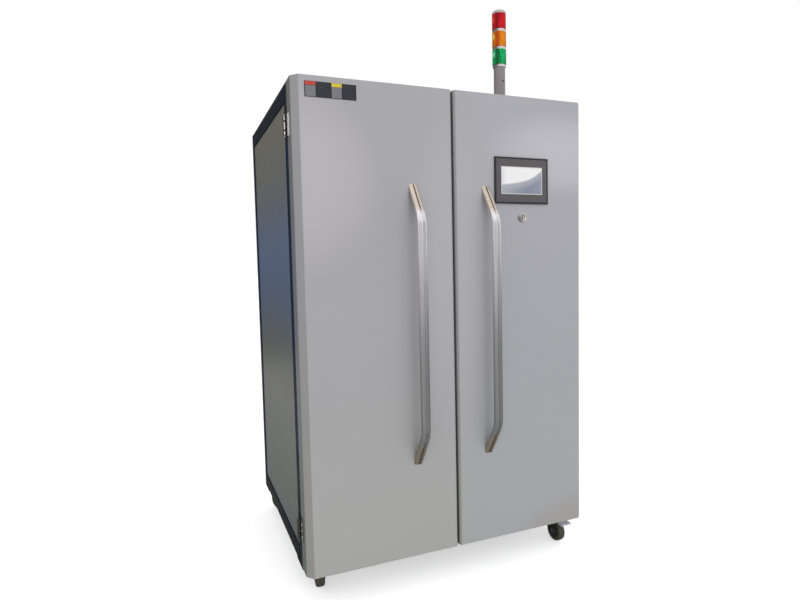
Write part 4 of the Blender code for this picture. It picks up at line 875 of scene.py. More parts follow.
def square_tube(low, high):
    return block(low, high, 3, 3)


def side_frame(node, side):
    """Two posts, two rails, their weld beads, the casters' plates and bolts."""
    low, high = box(node)
    outer = low.x if side < 0 else high.x
    x0, x1 = sorted((outer, outer - side * TUBE))
    front, rear = low.y + POST, high.y - POST
    tubes = [
        square_tube((x0, low.y, body_bottom), (x1, front, body_top)),
        square_tube((x0, rear, body_bottom), (x1, high.y, body_top)),
        square_tube((x0, front - 3, body_top - RAIL), (x1, rear + 3, body_top)),
        square_tube((x0, front - 3, body_bottom), (x1, rear + 3, body_bottom + RAIL))]
    seam = outer - side * 0.4
    for y, (z, away) in product((front, rear), ((body_top - RAIL, 1), (body_bottom + RAIL, -1))):
        tubes.append(bead((seam, y, z), (seam, y, z + away * 47), 1.1))
    half = CASTER_PLATE / 2
    bolts = []
    for y in (low.y + half, high.y - half):
        plate = Vector((outer - side * half, y, low.z))
        tubes.append(block(
            plate - Vector((half, half, 0)), (plate.x + half, y + half, body_bottom + 0.5), 1.5))
        for across, along in product((-BOLT_PITCH / 2, BOLT_PITCH / 2), repeat=2):
            centre = plate + Vector((across, along, 0))
            bolts += [hex_head(centre, "-Z", 6.2, 4.2), ring(3, 8, 0, 1.2, centre, "-Z", 20, 0.3)]
    return tubes, bolts


def cross_frame(node):
    """Two rails and a middle post, with their weld beads."""
    low, high = box(node)
    half = TUBE / 2
    forms = [
        square_tube((low.x, low.y, body_top - RAIL), (high.x, high.y, body_top)),
        square_tube(low, (high.x, high.y, body_bottom + RAIL)),
        square_tube((-half, low.y, body_bottom + RAIL - 3), (half, high.y, body_top - RAIL + 3))]
    for z in (body_bottom + RAIL, body_top - RAIL):
        forms.append(bead((-half, low.y + 0.8, z), (half, low.y + 0.8, z), 1.5))
    return forms


for hand, side in SIDES:
    node = hand + "_side_frame"
    tubes, bolts = side_frame(node, side)
    dress(node, node + "_tubes", navy_paint, *tubes)
    add(node, node + "_caster_bolts", zinc, *bolts)
for node in ("front_frame", "rear_frame"):
    dress(node, node + "_tubes", navy_paint, *cross_frame(node))


# Cladding

COVER_SCREW, REAR_SCREW = (4.5, 2.4), (4.8, 2.6)
LOUVRE_WIDTH, LOUVRE_PITCH = 160, 19


def side_cover(node, side):
    """A folded side panel with a raised lip around its face."""
    low, high = box(node, (0, 1.2, 1.2))
    solidified(dress(node, node + "_sheet", panel_paint, opened(low, high, (-side, 0, 0), 3.5, 3)))
    face = (low.x if side < 0 else high.x) - side * 0.4
    loop = [(face, y, z) for y, z in rectangle(low.y + 6, high.y - 6, low.z + 6, high.z - 6)]
    add(node, node + "_edge_lip", panel_paint, tube(loop, 0.9, 6, loop=True))


def flat_cover(node, spots):
    """A folded roof or floor with its screws."""
    low, high = box(node, (1, 1, 0))
    solidified(dress(node, node + "_sheet", navy_paint, opened(low, high, (0, 0, -1), 3, 3)))
    places = [(x, y, high.z) for x, y in spots(low, high)]
    add(node, node + "_screws", zinc, *screws(places, "Z", *COVER_SCREW))


def roof_spots(low, high):
    sides = (low.x + 20, high.x - 20)
    inner = (low.x + 230, 0, high.x - 230)
    return [*product((*sides, *inner), (low.y + 20, high.y - 20)), *product(sides, (56,))]


def floor_spots(low, high):
    return product((low.x + 15, -30, 30, high.x - 15), (low.y + 12, high.y - 12))


for hand, side in SIDES:
    side_cover(hand + "_side_panel", side)
flat_cover("top_panel", roof_spots)
flat_cover("floor_plate", floor_spots)

low, high = box("divider_wall")
wall = opened(low, high, (1, 0, 0), 2.5, 3)
solidified(dress("divider_wall", "divider_wall_sheet", galvanised, wall), 1.5)
ribs = [
    slab([(high.x - 17.5 + up * 0.7, z + across * 0.7) for across, up in HAT],
         low.y + 50, high.y - 50, "XZ")
    for z in (400, 750, 1100, 1380)]
add("divider_wall", "divider_wall_ribs", galvanised, *ribs)


def hole_cell(form, hole, y, x0, x1, z0, z1):
    """A cell of the sheet with a round hole in it."""
    x, z, radius = hole[:3]
    inner, outer = [], []
    for angle in around(32, 0.5):
        across, up = math.cos(angle), math.sin(angle)
        inner.append(form.verts.new((x + radius * across, y, z + radius * up)))
        reach = max(abs(across), abs(up))
        right, top = across / reach, up / reach
        outer.append(form.verts.new((
            x + (x1 - x if right > 0 else x - x0) * right, y, z + (z1 - z if top > 0 else z - z0) * top)))
    for index in range(-1, 31):
        form.faces.new((inner[index], outer[index], outer[index + 1], inner[index + 1]))
    for spot in ((x0, y, z0), (x1, y, z0), (x1, y, z1), (x0, y, z1)):
        corner = form.verts.new(spot)
        form.faces.new((corner, *sorted(outer, key=lambda vert: (vert.co - corner.co).length)[:2]))


def pierced(low, high, holes):
    """A flat upright sheet with round holes, each in a square cell of the sheet."""
    form = bmesh.new()
    xs, zs = {low.x, high.x}, {low.z, high.z}
    for x, z, radius, cell in holes:
        xs |= {x - cell, x + cell}
        zs |= {z - cell, z + cell}
    xs, zs = sorted(xs), sorted(zs)
    for (x0, x1), (z0, z1) in product(zip(xs, xs[1:]), zip(zs, zs[1:])):
        hole = next((hole for hole in holes if x0 < hole[0] < x1 and z0 < hole[1] < z1), None)
        if hole:
            hole_cell(form, hole, low.y, x0, x1, z0, z1)
        else:
            form.faces.new([form.verts.new((x, low.y, z)) for x, z in rectangle(x0, x1, z0, z1)])
    bmesh.ops.remove_doubles(form, verts=form.verts, dist=0.001)
    bmesh.ops.recalc_face_normals(form, faces=form.faces)
    return form


def louvre(x, y, z):
    """A pressed air slot with a hooded lip."""
    section = [(y, z - 5.5), (y + 4.5, z - 4.5), (y + 4.5, z - 3), (y, z + 6)]
    return slab(section, x - LOUVRE_WIDTH / 2, x + LOUVRE_WIDTH / 2, "YZ", 0.7)


low, high = box("rear_panel")
back = high.y
fan, gland = middle("fan_housing"), middle("cable_gland")
holes = [(fan.x, fan.z, 56, 70), (gland.x, gland.z, 12.8, 30)]
sheet = dress("rear_panel", "rear_panel_sheet", rear_paint, pierced(low, high, holes))
solidified(sheet, high.y - low.y, 1 if sheet.data.polygons[0].normal.y < 0 else -1)
add(
    "rear_panel", "rear_panel_louvres", rear_paint,
    *[louvre(x, back - 0.3, foot + row * LOUVRE_PITCH)
      for x, foot, row in product((-330, -130), (300, 1300), range(8))])
sides = (low.x + 18, high.x - 18)
spots = [*product((*sides, -240, 0, 240), (low.z + 18, high.z - 18)), *product(sides, (460, 820, 1180))]
add(
    "rear_panel", "rear_panel_screws", zinc,
    *screws([(x, back, z) for x, z in spots], "Y", *REAR_SCREW))


# Hinges

LEAF, KNUCKLE = 2.5, 6
LEAF_SCREWS = (-19, 0, 19)


def hinge_leaf(node, side, on_door):
    """A leaf's plate, its knuckles, a dark root with the bush that parts the knuckles, and the screws. Dark
    pieces of the root beside the barrel stand in for shade.
    """
    low, high = box(node)
    toward = -1 if on_door else 1
    centre = middle(node)
    half_height = (high.z - low.z) / 2
    x0, x1 = (high.x - LEAF, high.x) if side < 0 else (low.x, low.x + LEAF)
    pin_x = low.x + KNUCKLE if side < 0 else high.x - KNUCKLE
    pin_y = high.y - KNUCKLE if on_door else low.y + KNUCKLE
    far = low.y if on_door else high.y
    near = pin_y + toward * 6.5
    y0, y1 = sorted((near + toward * 5, far))
    outline = rounded(rectangle(y0, y1, low.z, high.z), 3, closed=True)
    plate = slab(outline, x0, x1, "YZ", 0.5)
    # A dark strip beside the barrel, standing in for the shade between barrel and plate.
    y0, y1 = sorted((near, near + toward * 6))
    root = [block((x0 + 0.3, y0, low.z + 1), (x1 - 0.3, y1, high.z - 1), 0.4)]
    spans = [(-11, 11)] if on_door else [(15, half_height - 5), (5 - half_height, -15)]
    knuckles = []
    for start, end in spans:
        barrel = (pin_x, pin_y, centre.z + (start + end) / 2)
        knuckles.append(rod(KNUCKLE, end - start, barrel, "Z", 28, 1))
        # Dark blocks that join each knuckle to the plate, standing in for the shade there.
        y0, y1 = sorted((pin_y, near + toward))
        root.append(block(
            (x0 + 0.4, y0, centre.z + start + 0.6), (x1 - 0.4, y1, centre.z + end - 0.6), 0.3))
    if on_door:
        root += [rod(5.2, 4.2, (pin_x, pin_y, centre.z + up), "Z", 24, 0.3) for up in (-13, 13)]
    else:
        for end, axis in ((half_height, "Z"), (-half_height, "-Z")):
            foot = (pin_x, pin_y, centre.z + end)
            root.append(lathe([(0, -5.2), (4.6, -5.2), (4.6, -2.8), (0, -2.8)], foot, axis, 20))
            cap = [(0, -3.2), (4.8, -3.2), (5.6, -2.2), (5.4, -0.6), (3.8, 0.8), (0, 1.2)]
            knuckles.append(lathe(cap, foot, axis, 20))
    face, axis = (x0, "-X") if side < 0 else (x1, "X")
    screw_y = (near + far) / 2 + toward * 3
    heads = screws([(face, screw_y, centre.z + up) for up in LEAF_SCREWS], axis, 4.2, 1.6)
    return plate, knuckles, root, heads


for (hand, side), level, on_door in product(SIDES, ("upper", "lower"), (True, False)):
    node = f"{hand}_{level}_hinge_{'door' if on_door else 'frame'}_leaf"
    plate, knuckles, root, heads = hinge_leaf(node, side, on_door)
    dress(node, node + "_plate", leaf_steel if on_door else barrel_chrome, plate)
    add(node, node + "_knuckles", barrel_chrome, *knuckles)
    # The dark root, partly standing in for the shade beside the barrel.
    add(node, node + "_root", seal_rubber, *root)
    add(node, node + "_screws", zinc, *heads)


# Rating plate: plain colour fields and bars

PLATE_TONES = {
    "ground": (34, 34, 46), "red": (196, 62, 46), "yellow": (214, 196, 40), "grey": (122, 122, 128),
    "bar": (56, 58, 68)}
FIELD_BARS = ((0.80, 0.17), (0.62, 0.12), (0.46, 0.18), (0.30, 0.15), (0.15, 0.18))
plate_finish = {
    name: finish("plate_" + name, tone, 0.4, mottle=(0.06, 60), play=(0.05, 30), bump=(0.01, 600))
    for name, tone in PLATE_TONES.items()}
low, high = box("rating_plate")


def inlay(x0, x1, z0, z1):
    """A thin field between shares of the plate's width and height."""
    wide, tall = high.x - low.x, high.z - low.z
    return block(
        (low.x + x0 * wide, low.y - 0.2, low.z + z0 * tall),
        (low.x + x1 * wide, low.y + 0.4, low.z + z1 * tall), 0.1, 1)


dress("rating_plate", "rating_plate_base", plate_finish["ground"], block(low, high, 0.4))
add("rating_plate", "rating_plate_red_tab", plate_finish["red"], inlay(0.01, 0.215, 0.74, 0.985))
add("rating_plate", "rating_plate_yellow_tab", plate_finish["yellow"], inlay(0.515, 0.715, 0.74, 0.985))
add(
    "rating_plate", "rating_plate_fields", plate_finish["grey"],
    inlay(0.015, 0.21, 0.03, 0.72), inlay(0.52, 0.71, 0.03, 0.72))
add(
    "rating_plate", "rating_plate_bars", plate_finish["bar"],
    *[inlay(start, start + length, z, z + 0.045)
      for start, (z, length) in product((0.26, 0.77), FIELD_BARS)])


# Touch panel

RIM = 5.2
low, high = box("touch_panel_housing")
glass_low, glass_high = box("touch_panel_screen")
door_face = box("right_door")[0].y


def drawn_in(low, high, inset):
    """A rectangle in the door's plane, smaller on every side."""
    return low.x + inset, high.x - inset, low.z + inset, high.z - inset


dress(
    "touch_panel_housing", "touch_panel_rim", black_plastic,
    window(drawn_in(low, high, 0), drawn_in(low, high, RIM), low.y, door_face - 0.2, 1.2),
    block((low.x + 6, door_face - 1, low.z + 6), (high.x - 6, high.y, high.z - 6), 2),
    block((low.x + 30, high.y - 1, low.z + 24), (high.x - 30, high.y + 3, high.z - 24), 1),
    *[block((x, high.y - 6, low.z + 29.5), (x + 2, high.y + 0.8, high.z - 29.5), 0.4)
      for x in (low.x + 36 + 6 * slot for slot in range(22))])
add(
    "touch_panel_housing", "touch_panel_face", bezel_plastic,
    window(
        drawn_in(low, high, RIM), drawn_in(glass_low, glass_high, -0.7), low.y + 0.6,
        door_face - 0.4, 0.3))
add(
    "touch_panel_housing", "touch_panel_screen_border", white_plastic,
    window(
        drawn_in(glass_low, glass_high, -0.6), drawn_in(glass_low, glass_high, 1.8),
        glass_low.y - 0.3, glass_high.y, 0.2))
dress("touch_panel_screen", "touch_panel_glass", screen_glass, block(glass_low, glass_high, 0.4))
add(
    "touch_panel_housing", "touch_panel_clamps", zinc,
    *[block_about((x, door_face + 14, z), (10, 20, 8))
      for x, z in product((low.x + 30, high.x - 30), (low.z + 2, high.z - 2))])


# Key switch

low, high = box("key_switch_body")
core_low = box("key_switch_core")[0]
key = middle("key_switch_core")
key.y = low.y
dress(
    "key_switch_body", "key_switch_ring", lock_plating,
    lathe([
        (8, 17.5), (8, 2.2), (8.6, 0.4), (9.8, -0.6), (11.2, -0.4), (12.2, 1), (12.2, 4), (10, 4.2),
        (10, 23), (8, 23)], key, "Y", 40))
add(
    "key_switch_body", "key_switch_collar", lock_plating,
    lathe([(12.1, 0.6), (13.2, 0.4), (14.4, 1.8), (14.5, 4), (12.1, 4.1)], key, "Y", 40))
add(
    "key_switch_body", "key_switch_nut", zinc,
    lathe([(10.2, 6.6), (15, 6.6), (15, 10), (10.2, 10)], key, "Y", 6))
add(
    "key_switch_body", "key_switch_contacts", black_plastic,
    block((low.x, low.y + 22.8, low.z), high, 1.5),
    *[block((low.x + 4, high.y - 1, bottom), (high.x - 4, high.y + 2, top), 0.8)
      for bottom, top in ((low.z + 4, key.z - 3), (key.z + 3, high.z - 4))])
core = (key.x, core_low.y, key.z)
dress(
    "key_switch_core", "key_switch_plug", lock_plating,
    lathe([
        (0, 16.5), (6.6, 16.5), (7, 16), (7, 1.2), (6.4, 0.2), (5, 0), (4.6, 1.2), (0, 1.4)], core, "Y", 36))
# A dark keyhole, and a dark ring that stands in for the shade in the gap around the plug.
add(
    "key_switch_core", "key_switch_slot_and_gap_shade", seal_rubber,
    block_about((key.x, core_low.y + 1.2, key.z), (3.4, 1, 8.8), 0.3),
    ring(6.8, 7.9, 1.6, 5, core, "Y", 36, 0.2))


# Signal tower

LENS_DROP, SPACER_HEIGHT = 4.2, 9.2
FLUTES, FLUTE_DEPTH = 32, 0.7
# Each lens: its painted glint, its colour, and the deep tone of its ribs and painted shade.
LENSES = {
    "tower_green_lens": ((150, 255, 205), (0, 206, 118), (0, 100, 46)),
    "tower_amber_lens": ((255, 232, 96), (255, 160, 10), (198, 74, 0)),
    "tower_red_lens": ((255, 84, 70), (242, 8, 34), (150, 0, 16)),
}
tower = middle("tower_tube")
tower.z = box("tower_tube")[0].z


def above(height):
    """A point on the tower's axis, above its foot."""
    return tower + Vector((0, 0, height))


def ribbed(low_z, high_z):
    """A lens with upright flutes and rounded shoulders."""
    rings = []
    for z, scale, depth in (
            (low_z, 0.95, 0), (low_z + 1.6, 1, 0.2), (low_z + 4, 1, 1), (high_z - 4, 1, 1),
            (high_z - 1.6, 1, 0.2), (high_z, 0.95, 0)):
        points = []
        for angle in around(4 * FLUTES):
            flute = FLUTE_DEPTH * depth * (1 - abs(math.cos(FLUTES * angle / 2)))
            points.append(orbit((tower.x, tower.y, z), LENS_RADIUS * scale - flute, angle))
        rings.append(points)
    return skin(rings)


dress(
    "tower_tube", "tower_tube_body", tower_coat,
    lathe([
        (0, 205), (20, 205), (21, 204), (21, 7.5), (22.2, 5.5), (29, 5), (30, 4), (30, 0), (0, 0)],
        tower, "Z", 56))
add(
    "tower_tube", "tower_tube_collar", spacer_plastic,
    lathe([(21.1, 191), (23.4, 192), (24, 200), (21.1, 201.2)], tower, "Z", 56))
add(
    "tower_tube", "tower_tube_screw", seal_rubber,
    *screws([above(140) + Vector((2, -20.7, 0))], "-Y", 3.4, 1.4))
add(
    "tower_tube", "tower_flange_screws", zinc,
    *screws([orbit(above(4.5), 25.8, angle) for angle in around(4, 0.5)], "Z", 2.6, 1.8))
for node, tones in LENSES.items():
    low, high = box(node)
    ringed = node != "tower_red_lens"
    top = high.z - LENS_DROP - (SPACER_HEIGHT if ringed else 0)
    dress(node, node + "_shell", lens(node, *tones), ribbed(low.z - LENS_DROP, top))
    if ringed:
        add(
            node, node + "_spacer", spacer_plastic,
            lathe([
                (0, SPACER_HEIGHT), (23.6, SPACER_HEIGHT), (24.3, 8.6), (24.3, 5.2), (23.4, 4.6), (24.3, 4),
                (24.3, 0.6), (23.8, 0), (0, 0)], (tower.x, tower.y, top), "Z", 56))
dome = [
    (LENS_RADIUS * math.sin(turn), 1.2 + 10.8 * math.cos(turn))
    for turn in (1.5, 1.3, 1.1, 0.9, 0.7, 0.5, 0.3, 0.15)]
dress(
    "tower_cap", "tower_cap_dome", cap_plastic,
    lathe(
        [(0, -LENS_DROP), (25, -LENS_DROP), (LENS_RADIUS, 0.6 - LENS_DROP), *dome, (0, 12)],
        (tower.x, tower.y, box("tower_cap")[0].z), "Z", 56))


# Casters: each is built about an upright swivel axis with its wheel toward +X

WHEEL_FOOT = 11
CROWN_TOP, CROWN_LOW = 87.7, 78
FORK_HALF = 17.5
PEDAL_WIDE, PEDAL_NARROW = 20.5, 12.8
PEDAL_SLOPE = math.radians(5)
pivots = {joint["name"]: Vector(joint["pos_m"]) / MM for joint in frame["joints"]}


def mirrored(half):
    """A wheel's profile from its upper half."""
    return half + [(radius, -height) for radius, height in half[::-1] if height]


def fork(trail, axle_z, pin):
    """A stem, a crown and two legs. A fork with a brake also holds the pedal's pin."""
    crown_rear = trail if pin else trail + WHEEL_FOOT
    leg_rear = pin.x + 5.5 if pin else crown_rear - 1
    leg = rounded([
        (-19, 86.5), (-19, 79), (trail - WHEEL_FOOT, axle_z - WHEEL_FOOT),
        (trail + WHEEL_FOOT, axle_z - WHEEL_FOOT), (leg_rear, 79), (leg_rear, 86.5)], 6, 5, True)
    forms = [
        lathe([
            (0, 96.8), (15, 96.8), (20, 95.8), (20, 93.6), (18.6, 92.6), (20, 91.6), (20, 88.4),
            (18.4, 87.2), (0, 87.2)], steps=40),
        rod(7, 7, (0, 0, 99)),
        block((-20, -FORK_HALF, CROWN_LOW), (crown_rear, FORK_HALF, CROWN_TOP), 3, 3),
        slab(leg, -FORK_HALF, 3 - FORK_HALF, "XZ", 0.8),
        slab(leg, FORK_HALF - 3, FORK_HALF, "XZ", 0.8)]
    if pin:
        forms.append(rod(2.5, 2 * FORK_HALF + 2, pin, "Y", 16, 0.4))
    return forms


def axle_nuts(trail, axle_z):
    for side, axis in ((1, "Y"), (-1, "-Y")):
        yield hex_head((trail, side * (FORK_HALF - 0.2), axle_z), axis, 7.2, 2.8)
        yield ring(4, 8.8, 0, 0.8, (trail, side * (FORK_HALF - 0.1), axle_z), axis, 24, 0.2)


def tread():
    return lathe(mirrored([
        (24.5, 10.5), (27.5, 13), (32, 12.8), (34.4, 10.8), (35.4, 7), (35.7, 0)]), axis="Y", steps=64)


def wheel_centre():
    """A hub with six webs."""
    forms = [lathe(mirrored([
        (4.6, 13), (9.5, 13), (10.5, 10.5), (12, 8.5), (20.5, 8.5), (22.5, 11), (25, 11.6)]),
        axis="Y", steps=48)]
    for angle in around(6):
        web = block((10, -11.2, -1.4), (21.5, 11.2, 1.4), 0.8)
        forms += moved([web], Matrix.Rotation(angle, 4, "Y"))
    return forms


def pedal():
    """A tapered plate with side lips, grip bars and a rolled eye."""
    half = [(0, -PEDAL_NARROW), (21, -PEDAL_NARROW), (24, -PEDAL_WIDE), (50, -PEDAL_WIDE)]
    outline = rounded(half + [(x, -y) for x, y in half[::-1]], 4, closed=True)
    lips = [
        block((26, lip - 1.2, -4.5), (49, lip + 1.2, 1.4), 0.8)
        for lip in (-0.94 * PEDAL_WIDE, 0.94 * PEDAL_WIDE)]
    grips = [block((x, -15, 1), (x + 1.6, 15, 2.4), 0.5) for x in range(29, 46, 4)]
    plate = slab(outline, -1.5, 1.5, radius=0.8)
    eye = [(3, -PEDAL_NARROW), (5.5, -PEDAL_NARROW), (5.5, PEDAL_NARROW), (3, PEDAL_NARROW)]
    sloped = moved([plate, *lips, *grips], Matrix.Rotation(PEDAL_SLOPE, 4, "Y"))
    return [*sloped, lathe(eye, axis="Y", steps=24)]


for corner in ("front_left", "front_right", "rear_left", "rear_right"):
    caster = corner + "_caster"
    swivel, axle = pivots[caster + "_turn"], pivots[corner + "_wheel_roll"]
    arm = (axle - swivel).xy
    trail = arm.length
    turn = Matrix.Rotation(math.atan2(arm.y, arm.x), 4, "Z")
    stand = Matrix.Translation((swivel.x, swivel.y, 0)) @ turn
    hub = stand @ Matrix.Translation((trail, 0, axle.z))
    brake = pivots.get(corner + "_brake_press")
    pin = Vector((trail + 8, 0, brake.z)) if brake else None
    pressing = moved(fork(trail, axle.z, pin), stand)
    dress(caster + "_fork", caster + "_fork_pressing", fork_steel, *pressing)
    add(caster + "_fork", caster + "_axle_nuts", dull_steel, *moved(axle_nuts(trail, axle.z), stand))
    dress(caster + "_wheel", caster + "_tread", rubber, *moved([tread()], hub))
    add(caster + "_wheel", caster + "_hub", hub_plastic, *moved(wheel_centre(), hub))
    if brake:
        dress(
            caster + "_brake_pedal", caster + "_pedal_pressing", pedal_steel,
            *moved(pedal(), stand @ Matrix.Translation(pin)))


# Furnace

ROD_PITCH, ROD_HALF = 85, 25.5
STRAP_DROP = 12

keep("furnace_casing", galvanised, 0.6)
keep("furnace_lining", fibre, 1.5)
low, high = box("door_insulation")
dress("door_insulation", "door_insulation_block", fibre, block(low, high, 6, 3))
add(
    "door_insulation", "door_insulation_anchors", stainless,
    *[lathe([(0, 0.7), (11, 0.7), (13, 0), (13, -1), (0, -1)], (x, high.y, z), "Y", 24)
      for x, z in product(
          (low.x + 35, high.x - 35), (low.z + 50, middle("door_insulation").z, high.z - 50))])

pot = middle("crucible")
pot.z = box("crucible")[0].z + 24
dress(
    "crucible", "crucible_pot", clay,
    lathe([
        (40, 16.5), (42.5, 21), (53.5, 166), (55, 169), (58, 170), (61, 169), (62.2, 166), (60.6, 156),
        (59.6, 148), (48.2, 5), (45.5, 0), (14, 0), (12.2, -2), (11.8, -22), (10, -24), (6.2, -24),
        (6, 10), (9, 14), (30, 14.5)], pot, "Z", 64))
low, high = box("discharge_tube")
length = high.z - low.z
dress(
    "discharge_tube", "discharge_tube_sleeve", clay,
    lathe([
        (15.2, 1.2), (16.8, 0), (22.8, 0), (24, 1.4), (24, length - 1), (23, length), (16.6, length),
        (15, length - 1.4)], (pot.x, pot.y, low.z), "Z", 48))


def element_bank(node):
    """Three U-shaped rods in a holder on the lining's roof, with straps between their ends."""
    low, high = box(node)
    x, roof = middle(node).x, box("furnace_lining")[1].z + 0.3
    bend_z, strap_z = low.z + 4.5 + ROD_HALF, high.z - STRAP_DROP
    holder = [block((low.x, low.y, roof), (high.x, high.y, roof + 14), 2, 3)]
    rods, straps = [], []
    for y in (pot.y - ROD_PITCH, pot.y, pot.y + ROD_PITCH):
        bend = [
            (x, y - ROD_HALF * math.cos(turn), bend_z - ROD_HALF * math.sin(turn))
            for turn in (math.pi * step / 14 for step in range(15))]
        rods.append(tube([(x, y - ROD_HALF, high.z), *bend, (x, y + ROD_HALF, high.z)], 4.5, 16))
        legs = (y - ROD_HALF, y + ROD_HALF)
        holder += [ring(5.2, 8.5, 13.5, 16.5, (x, leg, roof), steps=24) for leg in legs]
    for y in (pot.y - ROD_PITCH / 2, pot.y + ROD_PITCH / 2):
        straps.append(block((x - 6, y - 23, strap_z - 2.5), (x + 6, y + 23, strap_z + 2.5), 1.8, 3))
        straps += [ring(4.6, 7.2, -4.5, 4.5, (x, end, strap_z), steps=20) for end in (y - 17, y + 17)]
    dress(node, node + "_holder", ceramic, *holder)
    add(node, node + "_rods", hot_rod, *rods)
    add(node, node + "_straps", braid, *straps)


element_bank("left_element_bank")
element_bank("right_element_bank")

low, high = box("thermocouple")
head = middle("thermocouple")
head.y = high.y - 34
tip = low.y - head.y
dress(
    "thermocouple", "thermocouple_sheath", ceramic,
    lathe([(0, tip), (3, tip + 0.8), (4, tip + 3), (4, 1), (0, 1)], head, "Y", 20))
add(
    "thermocouple", "thermocouple_head", zinc,
    lathe([
        (0, 0), (13, 0), (18, 3), (18, 20), (17.2, 21.5), (18, 23), (18, 31), (15, 34), (0, 34)], head, "Y"),
    hex_head((head.x, head.y + 12, head.z - 16.5), "-Z", 7, 9),
    *screws([(head.x - 9, high.y, head.z), (head.x + 9, high.y, head.z)], "Y", 2.5, 1.4))


def tub(node, material, corner, sheet, wire, drop):
    """A deep-drawn tray with a wired rim."""
    low, high = box(node)
    pan = opened(low, high, (0, 0, 1), corner, 5)
    solidified(dress(node, node + "_tub", material, pan), sheet)
    low, high = box(node, (1, 1, 0))
    path = rounded(rectangle(low.x, high.x, low.y, high.y), 10, 6, True)
    rim = tube([(*point, high.z - drop) for point in path], wire, loop=True)
    add(node, node + "_rim", material, rim)


tub("quench_tank", stainless, 12, SHEET, 3, 3)
low, high = box("quench_tank")
centre_x = middle("quench_tank").x
grip = [(45, 0, 40), (45, 9, 44), (40, 13, 50)]
grip += [(-across, out, drop) for across, out, drop in grip[::-1]]
add(
    "quench_tank", "quench_tank_grips", stainless,
    *[tube([(centre_x - across, y + side * out, high.z - drop) for across, out, drop in grip], 2.6)
      for y, side in ((low.y, -1), (high.y, 1))])
tub("drip_tray", galvanised, 5, 1.5, 1.8, 1.5)

low, high = box("furnace_casing")
add(
    "furnace_casing", "furnace_casing_bolts", zinc,
    *[hex_head((x, y, z), axis, 5, 3)
      for (x, axis), y, z in product(
          ((low.x, "-X"), (high.x, "X")), (low.y + 20, high.y - 20), (740, 900, 1060, 1220, 1320))])
add(
    "furnace_casing", "furnace_casing_feet", zinc,
    *[block((x - 21, y - 21, low.z), (x + 21, y + 21, low.z + 4))
      for x, y in product((low.x + 21.5, high.x - 21.5), (low.y + 21.5, high.y - 21.5))])


# Mounting plate: ducts, rails and small devices

FINGER_PITCH, FINGER_WIDTH = 10, 5.6
BREAKER_PITCH, TERMINAL_PITCH = 18, 8
BREAKER_RAIL, TERMINAL_RAIL = 1100, 660
low, high = box("mounting_plate")
plate = opened(low, high, (0, 1, 0), 2.5, 3)
solidified(dress("mounting_plate", "mounting_plate_sheet", galvanised, plate))
face = low.y
rail_start, rail_end = low.x + 204.5, high.x - 45


def duct(x0, x1, z0, z1):
    """Slotted wiring duct with a lid."""
    upright = z1 - z0 > x1 - x0
    inset_x, inset_z = (3, 0) if upright else (0, 3)
    forms = [
        block((x0 + inset_x, face - 3, z0 + inset_z), (x1 - inset_x, face, z1 - inset_z), 0.5),
        block((x0, face - 42, z0), (x1, face - 36, z1), 1.5)]
    start, length = (z0, z1 - z0) if upright else (x0, x1 - x0)
    walls = (x0, x1 - 2) if upright else (z0, z1 - 2)
    for finger, wall in product(range(int(length / FINGER_PITCH)), walls):
        near = start + finger * FINGER_PITCH + 1
        far = near + FINGER_WIDTH
        left, right, foot, top = (wall, wall + 2, near, far) if upright else (near, far, wall, wall + 2)
        forms.append(block((left, face - 38, foot), (right, face, top), 0))
    return forms


def top_hat(z):
    """A mounting rail: its foot, its two webs and its two lips."""
    for y0, y1, z0, z1, radius in (
            (7.5, 6.5, -17.5, -12.5, 0.3), (7.5, 6.5, 12.5, 17.5, 0.3), (1.2, 0, -13.5, 13.5, 0.3),
            (7.5, 0, -13.5, -12.5, 0), (7.5, 0, 12.5, 13.5, 0)):
        yield block((rail_start, face - y0, z + z0), (rail_end, face - y1, z + z1), radius)


def row(count, pitch, offset, width, front, rear, z, half_height, radius):
    """Equal blocks side by side on a rail, from one distance off the plate to another."""
    for x in (rail_start + offset + pitch * index for index in range(count)):
        yield block((x, face - front, z - half_height), (x + width, face - rear, z + half_height), radius)


add(
    "mounting_plate", "mounting_plate_ducts", grey_plastic,
    *duct(low.x + 4, low.x + 34, 200, 1300), *duct(high.x - 34, high.x - 4, 200, 1300),
    *duct(low.x + 36, high.x - 36, 1268, 1298), *duct(low.x + 36, high.x - 36, 800, 830))
add(
    "mounting_plate", "mounting_plate_rails", zinc,
    *top_hat(BREAKER_RAIL), *top_hat(TERMINAL_RAIL))
add(
    "mounting_plate", "mounting_plate_terminals", grey_plastic,
    *row(16, TERMINAL_PITCH, 10, 7.4, 40, 6, TERMINAL_RAIL, 22, 1.2),
    *row(6, BREAKER_PITCH, 10, 17.5, 60, 6, BREAKER_RAIL, 40, 1.5))
add(
    "mounting_plate", "mounting_plate_toggles", black_plastic,
    *row(6, BREAKER_PITCH, 15.5, 6.5, 68, 58, BREAKER_RAIL, 6, 1))
add(
    "mounting_plate", "mounting_plate_screws", zinc,
    *screws(product((low.x + 45, high.x - 45), (face,), (190, 550, 950, 1240)), "-Y", *COVER_SCREW))


# Transformer

